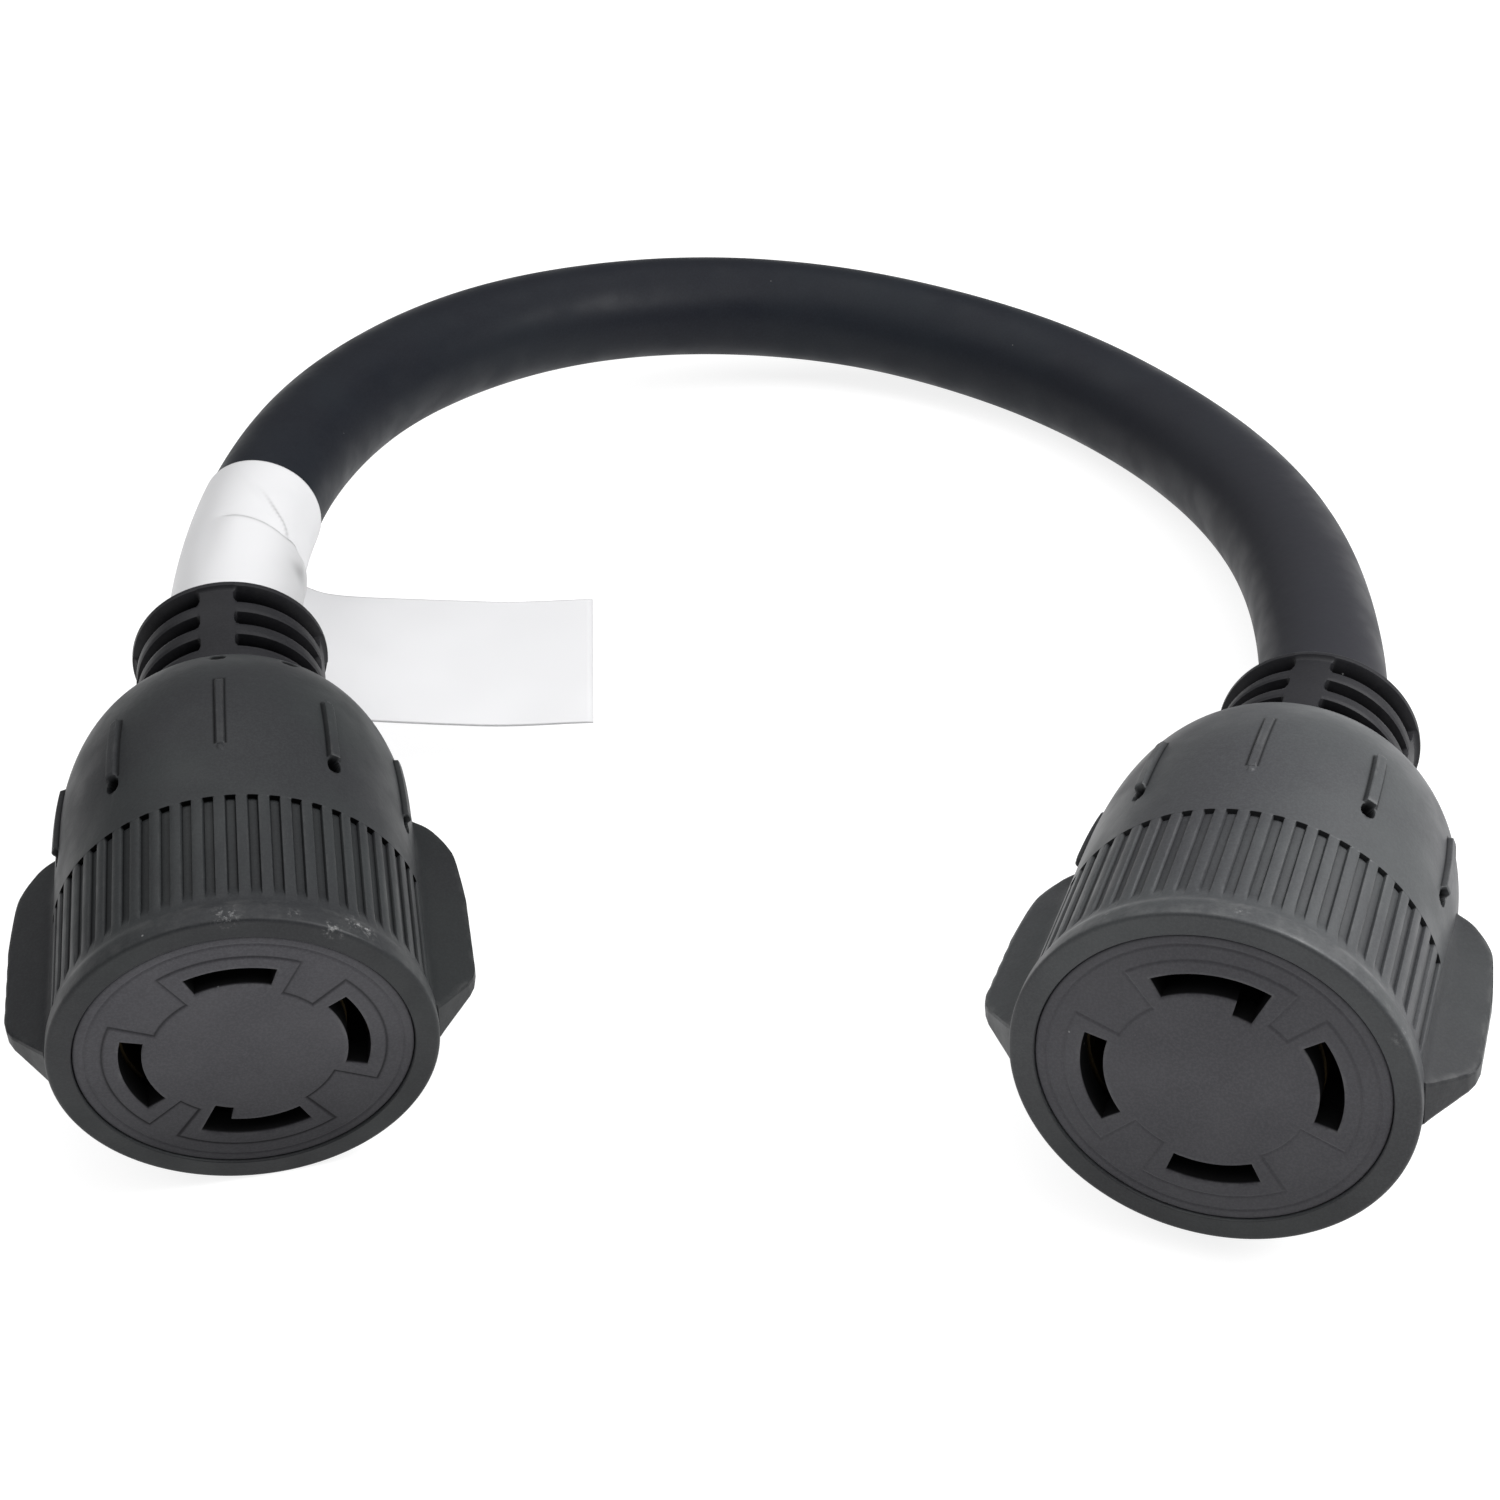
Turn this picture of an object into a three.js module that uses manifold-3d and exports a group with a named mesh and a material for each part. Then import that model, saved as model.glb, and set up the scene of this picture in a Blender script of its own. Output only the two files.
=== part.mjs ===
// A short four-wire locking extension: two moulded socket connectors joined by one thick round cable.
// Millimetres, +Z up. The connectors lie on the surface z = 0 with their socket faces towards -Y.
import * as THREE from "three";
import { mergeVertices } from "three/addons/utils/BufferGeometryUtils.js";
import Module from "manifold-3d";

const wasm = await Module();
wasm.setup();

// ---------------------------------------------------------------- driving dimensions
const DEG = Math.PI / 180;
const GAP = 0.3; // clearance left between neighbouring pieces
const COARSE_FACETS = 24; // round the hidden turned pieces
const RELIEF_FACETS = 24;

// Connector axis: depth 0 is the socket face, and depth grows towards the cable.
const FACE_RADIUS = 27.5;
const FACE_EDGE = 0.8; // bevel round the front of the face ring
const FACE_RING_END = 3;
const BARREL_START = 4.4;
const BARREL_RADIUS = 27.0;
const CAVITY_TAPER_START = 42;
const BORE_RADIUS = 23.9;
const BORDER_DEPTH = 25.2; // where the grooved barrel meets the dome
const DOME_RADIUS = 27.1;
const DOME_START = 33;
const DOME_REACH = 38; // from the dome's start to where its curve would close on the axis
const DOME_END_RADIUS = 17.2;

const GROOVES_PER_TURN = 54; // the grip has one facet to each, with the groove in its middle
const GROOVE_DEPTH = 0.9;
const GROOVE_SHARE = 0.45; // of one pitch
const GROOVE_FRONT = 4.6;
const GROOVE_SKIP = 7.5; // degrees either side of a wing's middle that are left plain

// A wing's outline in the connector's flat middle plane: distance from the axis, and depth.
const WING_ROOT = 24.6;
const WING_TIP = 33.6;
const WING_FRONT = [27.4, 1.6];
const WING_SHOULDER = [32.5, 7.2];
const WING_TIP_FRONT = [WING_TIP, 10.6];
const WING_TIP_BACK = [WING_TIP - 0.4, 29.5];
const WING_BACK_BEND = [32.3, 36.6];
const WING_BACK = [26.4, 41.6];
const WING_ROOT_HALF = 3.9; // half its thickness
const WING_TIP_HALF = 1.2;

const RIBS_PER_TURN = 10;
const RIB_DEPTHS = [36.2, 41, 44, 47, 50.5]; // where a rib's top starts, bends and ends
const RIB_WIDTH = 1.5;
const RIB_HEIGHT = 0.9;
const RIB_FRONT_HEIGHT = 0.27; // a rib's front end runs out close to the dome
const RIB_BURIED = 1.2;

const RELIEF_RADIUS = 15.4;
const RELIEF_RIM_RADIUS = 16.1;
const RELIEF_END = 88.8;
const RELIEF_START = 56;
const RELIEF_FLANGE_END = 59.2;
const RELIEF_FLANGE_RADIUS = 17;
const RELIEF_RIM_LENGTH = 1.6;
const RELIEF_RIM_STEP = 0.3;
const RELIEF_SLOT_PITCH = 6.15;
const RELIEF_LAST_SLOT = 2.9; // from the end to the middle of the last slot row
const RELIEF_SLOT_LENGTH = 2.8;
const RELIEF_SLOT_ROWS = 4;
const RELIEF_SLOT_FLOOR = 12.5;
const RELIEF_WEB_HALF = 10.5; // degrees, of each of the four axial webs

const INSERT_RADIUS = BORE_RADIUS - GAP;
const INSERT_RECESS = 0.4;
const INSERT_WALL = 4.4;
const INSERT_SKIRT_END = 16;
const SLOT_RADIUS = 16;
const SLOT_WIDTH = 3.2;

const CARRIER_FRONT = INSERT_WALL + GAP;
const CARRIER_BACK = 26;
const CARRIER_RADIUS = 20.9;
const POCKET_END = 22;
const POCKET_MARGIN = 1.5; // a carrier pocket is this much wider all round than its blade slot

const CONTACT_FRONT = 5.6;
const CONTACT_BACK = 21;
const CONTACT_SHEET = 0.8;
const CONTACT_HALF_WIDTH = 2.3; // across the two leaves, from the slot's radius
const CONTACT_INSET = 3; // degrees by which a contact is shorter than its slot at each end
const CONTACT_PLATE = 1.2;
const CRIMP_RADIUS = 2.7;
const CRIMP_BORE = 2.0;
const CRIMP_END = 31;

const COVER_FRONT = 27;
const COVER_BACK = 54.6;
const COVER_WALL = 2;
const COVER_BACK_WALL = 3.6;

const CABLE_RADIUS = 10.5;
const JACKET_BORE = 7.4;
const LANE_RADIUS = 3.95; // of the four conductors about the cable's middle
const INSULATION_RADIUS = 2.6;
const INSULATION_BORE = 2.05;
const COPPER_RADIUS = 1.45;
const FILLER_RADIUS = 1.0;
const CABLE_STEPS = 16;
const JACKET_START = 66; // depth inside each connector at which the jacket is stripped back

const LABEL_LENGTH = 39.5;
const LABEL_OFFSET = 2.8; // from the strain relief's end
const LABEL_RADIUS = 11.05;
const LABEL_THICKNESS = 0.4;
// How the label's tail hangs from the underside of its sleeve: sideways reach, and drop.
const TAIL = [
  [0, 0],
  [3, 3.2],
  [8, 5.8],
  [21.5, 8.6],
  [40, 12],
  [59, 15.4],
];
const TAIL_WIDTH = 38.5;
const TAIL_SHIFT = 1.5; // of the tail's middle along the cable

// Blade slots, by the angle of their middle seen from the front, anticlockwise from the right.
const BLADES = [
  { name: "neutral", middle: 91, from: -21.5, to: 21.5, colour: 0xe6e6e2 },
  { name: "line_x", middle: 7, from: -25, to: 25, colour: 0x1c1c1e },
  { name: "line_y", middle: 187, from: -25, to: 25, colour: 0x9c1f1a },
  { name: "ground", middle: 271, from: -27.5, to: 22.5, colour: 0x2f6b35 },
];
const HOOK_WIDTH = 3.6; // of the ground slot's inward leg
const HOOK_INNER = 11.9;

// Where each connector's socket face lies: its centre, its heading, how far it noses up, and its roll.
const CONNECTORS = [
  { tag: "a", x: -72.3, y: -27.4, yaw: 7.26, tilt: -5.0, roll: -4.3 },
  { tag: "b", x: 59.6, y: -52.1, yaw: -23.0, tilt: 5.5, roll: 184.8 },
];

// The cable's free route, from just outside strain relief a to just outside strain relief b.
const ROUTE = [
  [-84.4, 70.3, 35.8],
  [-84.5, 80.1, 36.2],
  [-83.4, 100.1, 36.2],
  [-80.2, 120.0, 35.2],
  [-74.6, 139.0, 33.6],
  [-65.9, 157.3, 31.3],
  [-54.2, 173.5, 28.6],
  [-39.7, 187.1, 25.6],
  [-22.4, 197.1, 22.4],
  [-3.2, 202.7, 19.3],
  [16.7, 203.3, 16.5],
  [35.9, 199.2, 14.1],
  [53.8, 190.5, 12.1],
  [69.8, 178.1, 11.0],
  [82.9, 162.6, 10.6],
  [92.7, 145.3, 11.1],
  [99.6, 126.5, 12.5],
  [103.5, 106.9, 14.4],
  [104.4, 87.1, 16.7],
  [102.9, 67.2, 19.0],
  [101.3, 57.3, 20.2],
  [98.7, 43.2, 21.8],
];

// ---------------------------------------------------------------- materials
function material(colour, roughness, metalness = 0) {
  return new THREE.MeshStandardMaterial({ color: colour, roughness, metalness });
}
const gripPvc = material(0x45484a, 0.55);
const reliefPvc = material(0x2b2c31, 0.6);
const insertNylon = material(0x4a4a4e, 0.5);
const carrierNylon = material(0x6b6a66, 0.6);
const coverPvc = material(0x55565a, 0.65);
const brass = material(0xb8934a, 0.35, 1);
const copper = material(0xb5693c, 0.4, 1);
const jacketPvc = material(0x1e1f25, 0.5);
const fillerPaper = material(0xcfc8b4, 0.9);
const labelVinyl = material(0xf1f1f4, 0.45);

// ---------------------------------------------------------------- solids
function solid(geometry) {
  geometry.deleteAttribute("normal");
  geometry.deleteAttribute("uv");
  const merged = mergeVertices(geometry, 1e-4);
  const vertProperties = new Float32Array(merged.attributes.position.array);
  const triVerts = new Uint32Array(merged.index.array);
  const made = new wasm.Manifold(new wasm.Mesh({ numProp: 3, vertProperties, triVerts }));
  if (made.volume() > 0) return made;
  for (let i = 0; i < triVerts.length; i += 3) {
    [triVerts[i + 1], triVerts[i + 2]] = [triVerts[i + 2], triVerts[i + 1]];
  }
  return new wasm.Manifold(new wasm.Mesh({ numProp: 3, vertProperties, triVerts }));
}

function meshOf(name, made, finish) {
  const data = made.getMesh();
  const geometry = new THREE.BufferGeometry();
  const positions = new Float32Array(data.vertProperties);
  geometry.setAttribute("position", new THREE.BufferAttribute(positions, 3));
  geometry.setIndex(new THREE.BufferAttribute(new Uint32Array(data.triVerts), 1));
  geometry.computeVertexNormals();
  const mesh = new THREE.Mesh(geometry, finish);
  mesh.name = name;
  return mesh;
}

// A turned solid about the connector's axis, from [radius, depth] corners in order.
function turned(corners, facets = COARSE_FACETS) {
  const outline = corners.map(([radius, depth]) => new THREE.Vector2(radius, depth));
  const onAxis = corners[0][0] === 0 && corners.at(-1)[0] === 0;
  if (!onAxis) outline.push(outline[0].clone());
  return solid(new THREE.LatheGeometry(outline, facets));
}

// A flat outline seen from the front, carried from one depth to another.
function slab(shape, front, back, curveSegments = 3) {
  const depth = back - front;
  const geometry = new THREE.ExtrudeGeometry(shape, { depth, bevelEnabled: false, curveSegments });
  geometry.rotateX(Math.PI / 2);
  geometry.translate(0, back, 0);
  return solid(geometry);
}

// A stretch of a ring seen from the front, between two angles in degrees.
function arcShape(inner, outer, from, to) {
  const shape = new THREE.Shape();
  shape.absarc(0, 0, outer, from * DEG, to * DEG, false);
  shape.absarc(0, 0, inner, to * DEG, from * DEG, true);
  shape.closePath();
  return shape;
}

function cylinderAlong(radius, x, z, front, back, facets = 10) {
  const geometry = new THREE.CylinderGeometry(radius, radius, back - front, facets);
  geometry.translate(x, (front + back) / 2, z);
  return solid(geometry);
}

// ---------------------------------------------------------------- grip
function domeRadius(depth) {
  const share = (depth - DOME_START) / DOME_REACH;
  return DOME_RADIUS * Math.cbrt(1 - share ** 3);
}

function domeEndDepth() {
  return DOME_START + DOME_REACH * Math.cbrt(1 - (DOME_END_RADIUS / DOME_RADIUS) ** 3);
}

function gripShell() {
  const end = domeEndDepth();
  const outside = [
    [BORE_RADIUS, 0],
    [FACE_RADIUS - FACE_EDGE, 0],
    [FACE_RADIUS, FACE_EDGE],
    [FACE_RADIUS, FACE_RING_END],
    [BARREL_RADIUS, BARREL_START],
    [DOME_RADIUS, DOME_START],
  ];
  const steps = 5;
  for (let i = 1; i <= steps; i++) {
    const share = Math.sin((i / steps) * 0.5 * Math.PI);
    const depth = DOME_START + (end - DOME_START) * share;
    outside.push([domeRadius(depth), depth]);
  }
  const reliefSeat = RELIEF_RADIUS + GAP;
  const flangeSeat = RELIEF_FLANGE_RADIUS + 2 * GAP;
  const inside = [
    [reliefSeat, end],
    [reliefSeat, RELIEF_FLANGE_END + GAP],
    [flangeSeat, RELIEF_FLANGE_END + GAP],
    [flangeSeat, RELIEF_START - 1],
    [BORE_RADIUS, CAVITY_TAPER_START],
  ];
  return turned([...outside, ...inside], GROOVES_PER_TURN);
}

// One groove cutter: a wedge whose floor rises from full depth at the dome to nothing at the face ring.
function grooveCutter(angle) {
  const pitchWidth = (2 * Math.PI * BARREL_RADIUS) / GROOVES_PER_TURN;
  const half = (pitchWidth * GROOVE_SHARE) / 2;
  const floor = BARREL_RADIUS - GROOVE_DEPTH;
  const above = BARREL_RADIUS + 1.5;
  const side = new THREE.Shape();
  side.moveTo(GROOVE_FRONT, above);
  side.lineTo(GROOVE_FRONT, BARREL_RADIUS);
  side.lineTo(BORDER_DEPTH, floor);
  side.lineTo(BORDER_DEPTH, above);
  side.closePath();
  const geometry = new THREE.ExtrudeGeometry(side, { depth: 2 * half, bevelEnabled: false });
  geometry.translate(0, 0, -half);
  geometry.rotateZ(Math.PI / 2); // outline x runs along the depth, outline y out from the axis
  geometry.scale(-1, 1, 1);
  geometry.rotateY(-angle * DEG);
  return solid(geometry);
}

// A flat tapering ear in the horizontal plane, on the +X side.
function wing() {
  const outline = new THREE.Shape();
  outline.moveTo(WING_ROOT, WING_FRONT[1] + 2);
  outline.lineTo(...WING_FRONT);
  outline.lineTo(...WING_SHOULDER);
  outline.quadraticCurveTo(WING_TIP, WING_SHOULDER[1] + 1.3, ...WING_TIP_FRONT);
  outline.lineTo(...WING_TIP_BACK);
  outline.quadraticCurveTo(...WING_BACK_BEND, ...WING_BACK);
  outline.lineTo(WING_ROOT, WING_BACK[1]);
  outline.closePath();
  const geometry = new THREE.ExtrudeGeometry(outline, {
    depth: 2,
    bevelEnabled: false,
    curveSegments: 6,
  });
  const position = geometry.attributes.position;
  for (let i = 0; i < position.count; i++) {
    const share = (position.getX(i) - WING_ROOT) / (WING_TIP - WING_ROOT);
    const half = THREE.MathUtils.lerp(WING_ROOT_HALF, WING_TIP_HALF, share);
    position.setZ(i, (position.getZ(i) - 1) * half);
  }
  return solid(geometry);
}

// A raised bar along the dome, its top following the dome and its underside buried in the wall.
function domeRib(angle) {
  const heights = RIB_DEPTHS.map((depth, i) => (i === 0 ? RIB_FRONT_HEIGHT : RIB_HEIGHT));
  const top = RIB_DEPTHS.map((depth, i) => new THREE.Vector2(depth, domeRadius(depth) + heights[i]));
  const under = RIB_DEPTHS.map((depth) => new THREE.Vector2(depth, domeRadius(depth) - RIB_BURIED));
  const outline = new THREE.Shape([...top, ...under.reverse()]);
  const geometry = new THREE.ExtrudeGeometry(outline, { depth: RIB_WIDTH, bevelEnabled: false });
  geometry.translate(0, 0, -RIB_WIDTH / 2);
  geometry.rotateZ(Math.PI / 2);
  geometry.scale(-1, 1, 1);
  geometry.rotateY(-angle * DEG);
  return solid(geometry);
}

function grip(tag) {
  let made = gripShell();
  const rightWing = wing();
  made = made.add(rightWing).add(rightWing.mirror([1, 0, 0]));
  for (let i = 0; i < GROOVES_PER_TURN; i++) {
    const angle = (i * 360) / GROOVES_PER_TURN;
    const fromWing = Math.min(angle % 180, 180 - (angle % 180));
    if (fromWing > GROOVE_SKIP) made = made.subtract(grooveCutter(angle));
  }
  for (let i = 0; i < RIBS_PER_TURN; i++) {
    made = made.add(domeRib(90 + (i * 360) / RIBS_PER_TURN));
  }
  return meshOf(`grip_${tag}`, made, gripPvc);
}

// ---------------------------------------------------------------- strain relief
function strainRelief(tag) {
  const bore = CABLE_RADIUS + GAP;
  const rimStart = RELIEF_END - RELIEF_RIM_LENGTH;
  const profile = [
    [bore, RELIEF_START],
    [RELIEF_FLANGE_RADIUS, RELIEF_START],
    [RELIEF_FLANGE_RADIUS, RELIEF_FLANGE_END],
    [RELIEF_RADIUS, RELIEF_FLANGE_END],
    [RELIEF_RADIUS, rimStart],
    [RELIEF_RIM_RADIUS, rimStart + RELIEF_RIM_STEP],
    [RELIEF_RIM_RADIUS, RELIEF_END],
    [bore, RELIEF_END],
  ];
  let made = turned(profile, RELIEF_FACETS);
  const lastRow = RELIEF_END - RELIEF_LAST_SLOT;
  for (let row = 0; row < RELIEF_SLOT_ROWS; row++) {
    const middle = lastRow - row * RELIEF_SLOT_PITCH;
    for (const quarter of [0, 90, 180, 270]) {
      const from = quarter + RELIEF_WEB_HALF;
      const to = quarter + 90 - RELIEF_WEB_HALF;
      const shape = arcShape(RELIEF_SLOT_FLOOR, RELIEF_RIM_RADIUS + 1, from, to);
      const front = middle - RELIEF_SLOT_LENGTH / 2;
      made = made.subtract(slab(shape, front, front + RELIEF_SLOT_LENGTH, 2));
    }
  }
  return meshOf(`strain_relief_${tag}`, made, reliefPvc);
}

// ---------------------------------------------------------------- socket inside
function polar(radius, degrees) {
  return [radius * Math.cos(degrees * DEG), radius * Math.sin(degrees * DEG)];
}

function bladeSlot(blade, widen, front, back) {
  const inner = SLOT_RADIUS - SLOT_WIDTH / 2 - widen;
  const outer = SLOT_RADIUS + SLOT_WIDTH / 2 + widen;
  const spare = (widen / SLOT_RADIUS / DEG) * 1.2;
  const from = blade.middle + blade.from - spare;
  const to = blade.middle + blade.to + spare;
  let made = slab(arcShape(inner, outer, from, to), front, back);
  if (blade.name === "ground") {
    const hookSpan = (HOOK_WIDTH + widen) / SLOT_RADIUS / DEG;
    const hook = arcShape(HOOK_INNER - widen, inner + 1, from, from + hookSpan);
    made = made.add(slab(hook, front, back));
  }
  return made;
}

function faceInsert(tag) {
  const skirtInner = CARRIER_RADIUS + GAP;
  const profile = [
    [0, INSERT_RECESS],
    [INSERT_RADIUS, INSERT_RECESS],
    [INSERT_RADIUS, INSERT_SKIRT_END],
    [skirtInner, INSERT_SKIRT_END],
    [skirtInner, INSERT_WALL],
    [0, INSERT_WALL],
  ];
  let made = turned(profile, GROOVES_PER_TURN);
  for (const blade of BLADES) made = made.subtract(bladeSlot(blade, 0, 0, INSERT_WALL + 1));
  return meshOf(`face_insert_${tag}`, made, insertNylon);
}

function contactCarrier(tag) {
  const profile = [
    [0, CARRIER_FRONT],
    [CARRIER_RADIUS, CARRIER_FRONT],
    [CARRIER_RADIUS, CARRIER_BACK],
    [0, CARRIER_BACK],
  ];
  let made = turned(profile);
  for (const blade of BLADES) {
    made = made.subtract(bladeSlot(blade, POCKET_MARGIN, CARRIER_FRONT - 1, POCKET_END));
    const [x, z] = polar(SLOT_RADIUS, blade.middle);
    const hole = cylinderAlong(CRIMP_RADIUS + 2 * GAP, x, z, POCKET_END - 1, CARRIER_BACK + 1);
    made = made.subtract(hole);
  }
  return meshOf(`contact_carrier_${tag}`, made, carrierNylon);
}

// Two springy leaves that grip the blade from either side, a back plate and a crimp barrel for the wire.
function contact(blade, tag) {
  const from = blade.middle + blade.from + CONTACT_INSET;
  const to = blade.middle + blade.to - CONTACT_INSET;
  const inner = SLOT_RADIUS - CONTACT_HALF_WIDTH;
  const outer = SLOT_RADIUS + CONTACT_HALF_WIDTH;
  const leaves = [
    arcShape(inner, inner + CONTACT_SHEET, from, to),
    arcShape(outer - CONTACT_SHEET, outer, from, to),
  ];
  const backPlate = slab(arcShape(inner, outer, from, to), CONTACT_BACK - CONTACT_PLATE, CONTACT_BACK);
  const [x, z] = polar(SLOT_RADIUS, blade.middle);
  let made = backPlate;
  for (const leaf of leaves) made = made.add(slab(leaf, CONTACT_FRONT, CONTACT_BACK));
  made = made.add(cylinderAlong(CRIMP_RADIUS, x, z, CONTACT_BACK - 1, CRIMP_END));
  made = made.subtract(cylinderAlong(CRIMP_BORE, x, z, CONTACT_BACK + 1, CRIMP_END + 1));
  return meshOf(`contact_${blade.name}_${tag}`, made, brass);
}

function innerCover(tag) {
  const radius = BORE_RADIUS - GAP;
  const outside = [
    [radius, COVER_FRONT],
    [radius, CAVITY_TAPER_START - 0.5],
    [RELIEF_FLANGE_RADIUS, COVER_BACK],
  ];
  const inside = [
    [RELIEF_FLANGE_RADIUS - COVER_BACK_WALL, COVER_BACK],
    [radius - COVER_WALL, CAVITY_TAPER_START - 1.2],
    [radius - COVER_WALL, COVER_FRONT],
  ];
  return meshOf(`inner_cover_${tag}`, turned([...outside, ...inside]), coverPvc);
}

// ---------------------------------------------------------------- placing a connector
// The height of the face's centre when the lowest point of the grip touches the surface.
function restHeight(tilt) {
  const ribbed = RIB_DEPTHS.map((depth) => [domeRadius(depth) + RIB_HEIGHT, depth]);
  const outline = [[FACE_RADIUS, FACE_EDGE], [FACE_RADIUS, FACE_RING_END], ...ribbed];
  return Math.max(...outline.map(([r, u]) => r * Math.cos(tilt * DEG) + u * Math.sin(tilt * DEG)));
}

function connectorMatrix({ x, y, yaw, tilt, roll }) {
  return new THREE.Matrix4()
    .makeTranslation(x, y, restHeight(tilt))
    .multiply(new THREE.Matrix4().makeRotationZ(yaw * DEG))
    .multiply(new THREE.Matrix4().makeRotationX(-tilt * DEG))
    .multiply(new THREE.Matrix4().makeRotationY(-roll * DEG));
}

function connector(place) {
  const group = new THREE.Group();
  group.applyMatrix4(connectorMatrix(place));
  group.add(grip(place.tag));
  group.add(strainRelief(place.tag));
  group.add(faceInsert(place.tag));
  group.add(contactCarrier(place.tag));
  group.add(innerCover(place.tag));
  for (const blade of BLADES) group.add(contact(blade, place.tag));
  return group;
}

// A point in a connector's own frame, given in the assembly's frame.
function inConnector(place, x, depth, z) {
  return new THREE.Vector3(x, depth, z).applyMatrix4(connectorMatrix(place));
}

// ---------------------------------------------------------------- cable
// A path through fixed stations, so that every lane of the cable bends at the same places.
class StationPath extends THREE.Curve {
  constructor(stations) {
    super();
    this.stations = stations;
  }
  getPoint(t) {
    const last = this.stations.length - 1;
    const i = Math.min(Math.floor(t * last), last - 1);
    return this.stations[i].clone().lerp(this.stations[i + 1], t * last - i);
  }
  getPointAt(t) {
    return this.getPoint(t);
  }
  getTangentAt(t) {
    const last = this.stations.length - 1;
    const i = Math.round(t * last);
    const legs = [];
    if (i > 0) legs.push(this.stations[i].clone().sub(this.stations[i - 1]).normalize());
    if (i < last) legs.push(this.stations[i + 1].clone().sub(this.stations[i]).normalize());
    return legs.reduce((sum, leg) => sum.add(leg), new THREE.Vector3()).normalize();
  }
}

// A round section with this many sides, with a round hole through it where a bore is given.
function roundSection(radius, sides, bore = 0) {
  const ring = (r, count) =>
    Array.from({ length: count }, (_, i) => {
      const angle = (2 * Math.PI * i) / count;
      return new THREE.Vector2(r * Math.cos(angle), r * Math.sin(angle));
    });
  const shape = new THREE.Shape(ring(radius, sides));
  if (bore > 0) shape.holes.push(new THREE.Path(ring(bore, sides)));
  return shape;
}

function sweep(section, stations) {
  const path = new StationPath(stations);
  const steps = stations.length - 1;
  return new THREE.ExtrudeGeometry(section, { steps, bevelEnabled: false, extrudePath: path });
}

const [endA, endB] = CONNECTORS;
const cableLine = new THREE.CatmullRomCurve3(
  [
    inConnector(endA, 0, JACKET_START, 0),
    inConnector(endA, 0, (JACKET_START + RELIEF_END) / 2, 0),
    inConnector(endA, 0, RELIEF_END, 0),
    ...ROUTE.map(([x, y, z]) => new THREE.Vector3(x, y, z)),
    inConnector(endB, 0, RELIEF_END, 0),
    inConnector(endB, 0, (JACKET_START + RELIEF_END) / 2, 0),
    inConnector(endB, 0, JACKET_START, 0),
  ],
  false,
  "centripetal",
);
cableLine.arcLengthDivisions = 800;

// The stations of the cable's middle, each with its own sideways and upward direction.
function cableFrames() {
  const frames = [];
  for (let i = 0; i <= CABLE_STEPS; i++) {
    const along = cableLine.getTangentAt(i / CABLE_STEPS);
    const side = new THREE.Vector3(along.y, -along.x, 0).normalize();
    const up = new THREE.Vector3().crossVectors(side, along).normalize();
    frames.push({ middle: cableLine.getPointAt(i / CABLE_STEPS), side, up });
  }
  return frames;
}
const FRAMES = cableFrames();

function laneStations(sideways, upwards) {
  return FRAMES.map(({ middle, side, up }) =>
    middle.clone().addScaledVector(side, sideways).addScaledVector(up, upwards),
  );
}

// How a conductor leaves the jacket and spreads out to the crimp barrel of its contact:
// depth, and the share of the way from its lane in the cable to the contact's own place.
const SPREAD = [
  [60, 0.1],
  [52, 0.5],
  [42, 0.95],
  [34, 1],
];
const CROSSING_DEPTH = 52; // where two conductors pass each other to reach contacts on opposite sides
const CROSSING_OFFSET = 3.6;

// Which way a conductor's lane lies from the cable's middle at an end, as x and z in that connector.
function laneInConnector(place, sideways, upwards) {
  const frame = place === endA ? FRAMES[0] : FRAMES.at(-1);
  const world = new THREE.Vector3()
    .addScaledVector(frame.side, sideways)
    .addScaledVector(frame.up, upwards);
  const turn = new THREE.Matrix4().extractRotation(connectorMatrix(place)).transpose();
  const local = world.applyMatrix4(turn);
  return [local.x, local.z];
}

function spreadStations(place, blade, lane, tipDepth) {
  const [laneX, laneZ] = laneInConnector(place, ...lane);
  const [contactX, contactZ] = polar(SLOT_RADIUS, blade.middle);
  const at = (depth, share) => {
    const x = THREE.MathUtils.lerp(laneX, contactX, share);
    const z = THREE.MathUtils.lerp(laneZ, contactZ, share);
    return inConnector(place, x, depth, z);
  };
  const stations = SPREAD.map(([depth, share]) => at(depth, share));
  const crosses = laneX * contactX + laneZ * contactZ < 0;
  if (crosses) {
    const [x, z] = polar(CROSSING_OFFSET, blade.middle + 90);
    stations[0] = at(60, 0);
    stations[1] = inConnector(place, x, CROSSING_DEPTH, z);
  }
  return [...stations, at(tipDepth, 1)];
}

// The lanes are in the order of the contacts round connector a, seen along the cable.
function laneOf(index) {
  const blade = BLADES[index];
  const lanes = [
    [0, LANE_RADIUS],
    [LANE_RADIUS, 0],
    [-LANE_RADIUS, 0],
    [0, -LANE_RADIUS],
  ];
  return { blade, lane: lanes[index] };
}

function conductorStations(index, tipDepth) {
  const { blade, lane } = laneOf(index);
  const start = spreadStations(endA, blade, lane, tipDepth).reverse();
  const end = spreadStations(endB, blade, lane, tipDepth);
  return [...start, ...laneStations(...lane), ...end];
}

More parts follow.
